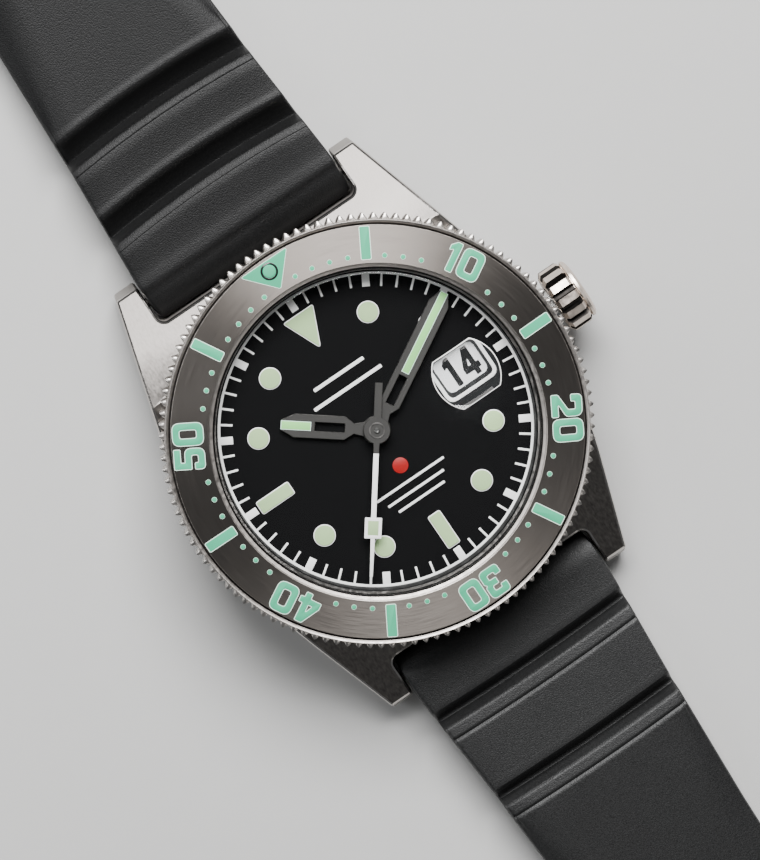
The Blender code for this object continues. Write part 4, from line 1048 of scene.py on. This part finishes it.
def make_crown():
    """Broad flat-topped flutes with deep narrow channels, drawn about Z and stood along +X."""
    levels = [
        (20.65, 2.75, 2.7), (20.72, 2.85, 2.72), (20.98, 3.25, 2.62), (22.72, 3.25, 2.62),
        (22.98, 2.98, 2.62), (23.03, 2.8, 2.62),
        (23.08, 2.8, 2.8), (23.14, 3.0, 3.0), (23.4, 3.0, 3.0), (23.56, 2.82, 2.82), (23.66, 2.5, 2.5),
        (23.68, 2.3, 2.3),
        (23.60, 2.24, 2.24), (23.60, 1.0, 1.0), (23.62, 0.0, 0.0), (22.0, 0.0, 0.0), (22.0, 1.85, 1.85),
        (20.65, 1.85, 1.85),
    ]
    verts = []
    for x, ridge, valley in levels:
        verts += fluted(ridge, valley, x)
    mesh = grid("crown_knob", verts, len(levels), FLUTES * 6, True)
    kinds = []
    for polygon in mesh.polygons:
        x, radius = polygon.center.z / MM, hypot(polygon.center.x, polygon.center.y) / MM
        # The channel walls and floors get painted shade, for their shadow and the dark surroundings they
        # reflect.
        kinds.append(1 if 20.8 < x < 22.95 and radius < 3.1 and abs(polygon.normal.z) < 0.5 else 0)
    crown = to_object(
        "crown_knob", about_x(mesh, STEM_Z), [CROWN_METAL, PAINTED_SHADE_METAL], "crown_and_stem", 20,
        kinds
    )
    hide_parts("crown")


make_crown()

# ---- strap

HALF_WIDTHS = (
    (19.4, 10.2), (19.6, 10.5), (19.8, 10.72), (20.1, 10.82), (20.6, 10.9), (21.0, 10.98), (24.0, 10.98),
    (35.0, 10.2), (50.0, 9.5), (72.0, 9.0),
    (140.0, 9.0),
)


def between(stops, y):
    for (y1, a), (y2, b) in zip(stops, stops[1:]):
        if y <= y2:
            return a + (b - a) * (y - y1) / (y2 - y1)
    return stops[-1][1]


def smooth_stops(stops, y, blur=0.06):
    return (between(stops, y - blur) + 2 * between(stops, y) + between(stops, y + blur)) / 4


def strap_piece(name, sign, tops, bottoms, shoulders, ys, bow, tip=0.0):
    """A strap as sections along Y, each a loop of points. The cross grooves are bowed outwards."""
    verts = []
    end = ys[-1]
    for y in ys:
        wide = between(HALF_WIDTHS, y)
        if tip and y > end - tip:
            part = (y - (end - tip)) / tip
            wide *= sqrt(max(0.0, 1 - part * part)) * 0.999 + 0.001
        top = smooth_stops(tops, y)
        low = smooth_stops(bottoms, y)
        thick = max(0.02, top - low)
        drop = between(shoulders, y)
        narrow = min(0.85 * wide, between(SHOULDER_IN, y))
        edge_top = max(low + 0.25 * thick, top - drop)
        r = min(0.35, thick * 0.2, wide * 0.3)
        half = [
            (0.0, low), (0.5 * wide, low), (wide - r, low), (wide - 0.3 * r, low + 0.3 * r), (wide, low + r),
            (wide, (low + edge_top) / 2), (wide, edge_top - r), (wide - 0.12 * r, edge_top - 0.5 * r),
            (wide - 0.4 * r, edge_top - 0.12 * r),
            (wide - r, edge_top), (wide - narrow * 0.5 - r * 0.5, (edge_top + top) / 2 + 0.02),
            (wide - narrow - r, top),
            ((wide - narrow) * 0.75, top), ((wide - narrow) * 0.5, top), ((wide - narrow) * 0.25, top),
            (0.0, top),
        ]
        loop = half + [(-x, z) for x, z in reversed(half[1:-1])]
        arch = bow * between(ARCHED, y)
        verts += [(x, sign * (y + arch * (1 - (x / 10.9) ** 2)), z) for x, z in loop]
    return grid(name, verts, len(ys), len(loop), False, True)


ARCHED = ((19.0, 0.0), (22.6, 0.0), (26.0, 1.0), (40.0, 1.0), (46.0, 0.0), (141.0, 0.0))
SHOULDER_IN = ((19.0, 0.3), (38.0, 0.3), (52.0, 3.0), (80.0, 2.2), (140.0, 1.0))


def lug_end(y_first, y_flat, top, low):
    """Heights of the rolled end of a strap from its nose to where it is flat."""
    middle, half = (top + low) / 2, (top - low) / 2
    reach = y_flat - y_first
    ups, downs, ys = [], [], []
    for k in range(13):
        a = pi / 2 * k / 12
        y = y_flat - reach * cos(a)
        ups.append((y, middle + half * sin(a)))
        downs.append((y, middle - half * sin(a)))
        ys.append(y)
    return ups, downs, ys


# Cross grooves as (distance, height). The upper strap's moulding line is on the case side of the groove,
# and the lower strap's is on the far side.
UPPER_GROOVE = (
    (26.9, 0.0), (27.0, -0.08), (27.08, 0.0), (27.25, -0.05), (27.5, -0.14), (27.75, -0.26), (27.95, -0.6),
    (28.15, -1.2), (28.5, -2.0),
    (28.9, -1.82), (29.3, -1.55), (29.8, -1.0), (30.15, -0.4), (30.4, -0.05), (30.62, 0.1), (30.85, 0.14),
    (31.1, 0.11), (31.35, 0.04),
    (31.6, 0.0),
)
LOWER_GROOVE = (
    (25.2, 0.0), (25.7, 0.04), (26.0, 0.0), (26.25, -0.3), (26.55, -1.1), (26.95, -1.75), (27.3, -1.75),
    (27.6, -1.0), (27.85, -0.3),
    (28.1, -0.08), (28.6, -0.02), (29.0, 0.03), (29.15, -0.02), (29.3, -0.2), (29.48, -0.03), (29.7, 0.0),
)


def grooved(groove, shift, top):
    return [(y + shift, top + z) for y, z in groove]


def fine(stops, start, end, coarse=1.2, near=0.2, bends=()):
    """Section places: close together where the profile bends."""
    places = {start, end} | {y for y, _ in stops if start < y < end}
    y = start
    while y < end:
        places.add(y)
        y += near if any(a <= y <= b for a, b in bends) else coarse
    return sorted(places)


def make_straps():
    top = 4.85
    ups, downs, ys = lug_end(19.48, 22.4, top, 0.8)
    crest = [(22.8, top + 0.16), (23.2, top + 0.16), (23.8, top + 0.05), (24.2, top)]
    tops = ups + crest + grooved(UPPER_GROOVE, 0, top) + grooved(UPPER_GROOVE, 8.0, top)
    tops += [(45.0, 4.6), (60.0, 3.85), (95.3, 3.85), (96.6, 3.85), (97.3, 3.66), (97.7, 3.2), (97.9, 2.6)]
    bottoms = downs + [
        (30.0, 1.1), (40.0, 1.25), (95.3, 1.25), (96.6, 1.25), (97.3, 1.44), (97.7, 1.9), (97.9, 2.5)
    ]
    shoulders = [(19.0, 0.12), (36.0, 0.15), (52.0, 1.1), (75.0, 0.7), (100.0, 0.4)]
    places = ys + fine(tops, 22.6, 97.9, 1.2, 0.16, [(26.8, 31.5), (34.8, 39.5), (95.0, 97.9)])
    mesh = strap_piece("strap_upper_rubber", 1, tops, bottoms, shoulders, places, 0.6)
    upper = to_object("strap_upper_rubber", mesh, RUBBER, "upper_strap", 30)
    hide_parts("strap_upper")
    tops = ups + grooved(LOWER_GROOVE, 0, top) + grooved(LOWER_GROOVE, 9.4, top)
    tops += [(45.0, 4.2), (60.0, 2.6), (120.0, 2.5), (139.0, 2.4), (139.7, 2.1), (140.0, 1.5)]
    bottoms = downs + [(30.0, 0.6), (40.0, 0.1), (48.0, 0.0), (139.0, 0.0), (139.7, 0.25), (140.0, 1.2)]
    places = ys + fine(
        tops, 22.6, 140.0, 1.2, 0.16, [(25.2, 29.7), (34.6, 39.1)]
    ) + [139.3, 139.6, 139.8, 139.9]
    mesh = strap_piece("strap_lower_rubber", -1, tops, bottoms, shoulders, sorted(set(places)), 0.25, 9.0)
    holes = []
    for i in range(7):
        holes.append([box(0.95, 1.35, (0, -(120 - 6.5 * i)), 0.9, 6)])
    cutter = bpy.data.objects.new("hole_cutter", plate("hole_cutter", holes, -2, 6))
    bpy.context.scene.collection.objects.link(cutter)
    # The lower strap takes the paler rubber: painted light.
    strap = to_object("strap_lower_rubber", mesh, PAINTED_LIGHT_RUBBER, "lower_strap", 30)
    cut = strap.modifiers.new("holes", "BOOLEAN")
    cut.object = cutter
    cut.solver = "EXACT"
    apply_modifiers(strap)
    bpy.data.objects.remove(cutter, do_unlink=True)
    strap.data.set_sharp_from_angle(angle=radians(30))
    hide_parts("strap_lower")


def apply_modifiers(obj):
    bpy.context.view_layer.update()
    mesh = bpy.data.meshes.new_from_object(obj.evaluated_get(bpy.context.evaluated_depsgraph_get()))
    old = obj.data
    obj.modifiers.clear()
    obj.data = mesh
    bpy.data.meshes.remove(old)
    mesh.name = obj.name


make_straps()

# ---- small pieces at the edges of the CAD


def soften(node, width, material=None, segments=2, angle=40):
    """A CAD piece with its sharp edges broken."""
    obj = frame["nodes"][node]
    weld = obj.modifiers.new("Weld", "WELD")
    weld.merge_threshold = 2e-6
    bevel = obj.modifiers.new("Edges", "BEVEL")
    bevel.width = width * MM
    bevel.segments = segments
    bevel.limit_method = "ANGLE"
    bevel.angle_limit = radians(angle)
    if material:
        obj.data.materials.clear()
        obj.data.materials.append(material)


for name, width in (("fixed_keeper", 0.25), ("sliding_keeper", 0.25)):
    soften(name, width, RUBBER)
soften("buckle_frame", 0.4, STEEL_BRUSHED, 3)
soften("buckle_tang", 0.2, POLISHED, 3)
soften("case_back", 0.08, BACK_METAL)

# ---- floor, lights and camera


def make_stage():
    mesh = bpy.data.meshes.new("floor")
    reach = 3.0
    low = -0.03 * MM
    mesh.from_pydata(
        [(-reach, -reach, low), (reach, -reach, low), (reach, reach, low), (-reach, reach, low)], [],
        [(0, 1, 2, 3)]
    )
    floor = bpy.data.objects.new("floor", mesh)
    bpy.context.scene.collection.objects.link(floor)
    paper = Maker("pale_paper", (0.44, 0.437, 0.43), 0.85)
    fibres = paper.noise(paper.scaled(0.5, 0.5, 0.5), 3.0)
    paper.tint(fibres, 0.985, 1.015).bump(fibres, 0.01)
    mesh.materials.append(paper.material)


def softbox(name, toward, distance, size, power, colour=(1, 1, 1)):
    """An area light in a direction from the dial, facing it."""
    direction = Vector(toward).normalized()
    light = bpy.data.lights.new(name, "AREA")
    light.shape = "RECTANGLE"
    light.size, light.size_y = size
    light.energy = power
    light.color = colour
    lamp = bpy.data.objects.new(name, light)
    bpy.context.scene.collection.objects.link(lamp)
    lamp.location = direction * distance
    lamp.rotation_euler = (-direction).to_track_quat("-Z", "Y").to_euler()
    return lamp


def make_light():
    world = bpy.data.worlds.new("studio")
    world.use_nodes = True
    world.node_tree.nodes["Background"].inputs["Color"].default_value = (0.92, 0.96, 1.0, 1)
    world.node_tree.nodes["Background"].inputs["Strength"].default_value = 0.14
    bpy.context.scene.world = world
    lean = radians(34.17)
    up = Vector((sin(lean), cos(lean), 0))
    right = Vector((cos(lean), -sin(lean), 0))
    high = Vector((0, 0, 1))
    softbox("key", up * 0.66 - right * 0.09 + high * 0.80, 0.5, (0.38, 0.26), 8.4)
    softbox("side_fill", -right * 0.9 + up * 0.1 + high * 0.8, 0.8, (0.3, 0.4), 1.6, (0.96, 0.98, 1.0))
    softbox("low", -up * 0.62 + right * 0.42 + high * 1.0, 0.8, (0.4, 0.25), 0.5, (1.0, 0.97, 0.94))


def make_camera():
    """The photograph's view: nearly square on, with 12 o'clock turned to the upper left."""
    tilt_x, tilt_y, roll = radians(-0.58), radians(6.20), radians(-34.17)
    back = Vector((tan(tilt_x), tan(tilt_y), 1)).normalized()
    side = Vector((0, 1, 0)).cross(back).normalized()
    over = back.cross(side)
    right = cos(roll) * side + sin(roll) * over
    up = -sin(roll) * side + cos(roll) * over
    camera = bpy.data.cameras.new("camera")
    camera.lens = 218.93
    camera.sensor_width = 36
    camera.shift_x = 0.01174
    camera.shift_y = -0.00942
    camera.clip_start, camera.clip_end = 0.05, 10
    obj = bpy.data.objects.new("camera", camera)
    bpy.context.scene.collection.objects.link(obj)
    turn = Matrix((right, up, back)).transposed().to_4x4()
    obj.matrix_world = Matrix.Translation(back * 0.5) @ turn
    bpy.context.scene.camera = obj


make_stage()
make_light()
make_camera()
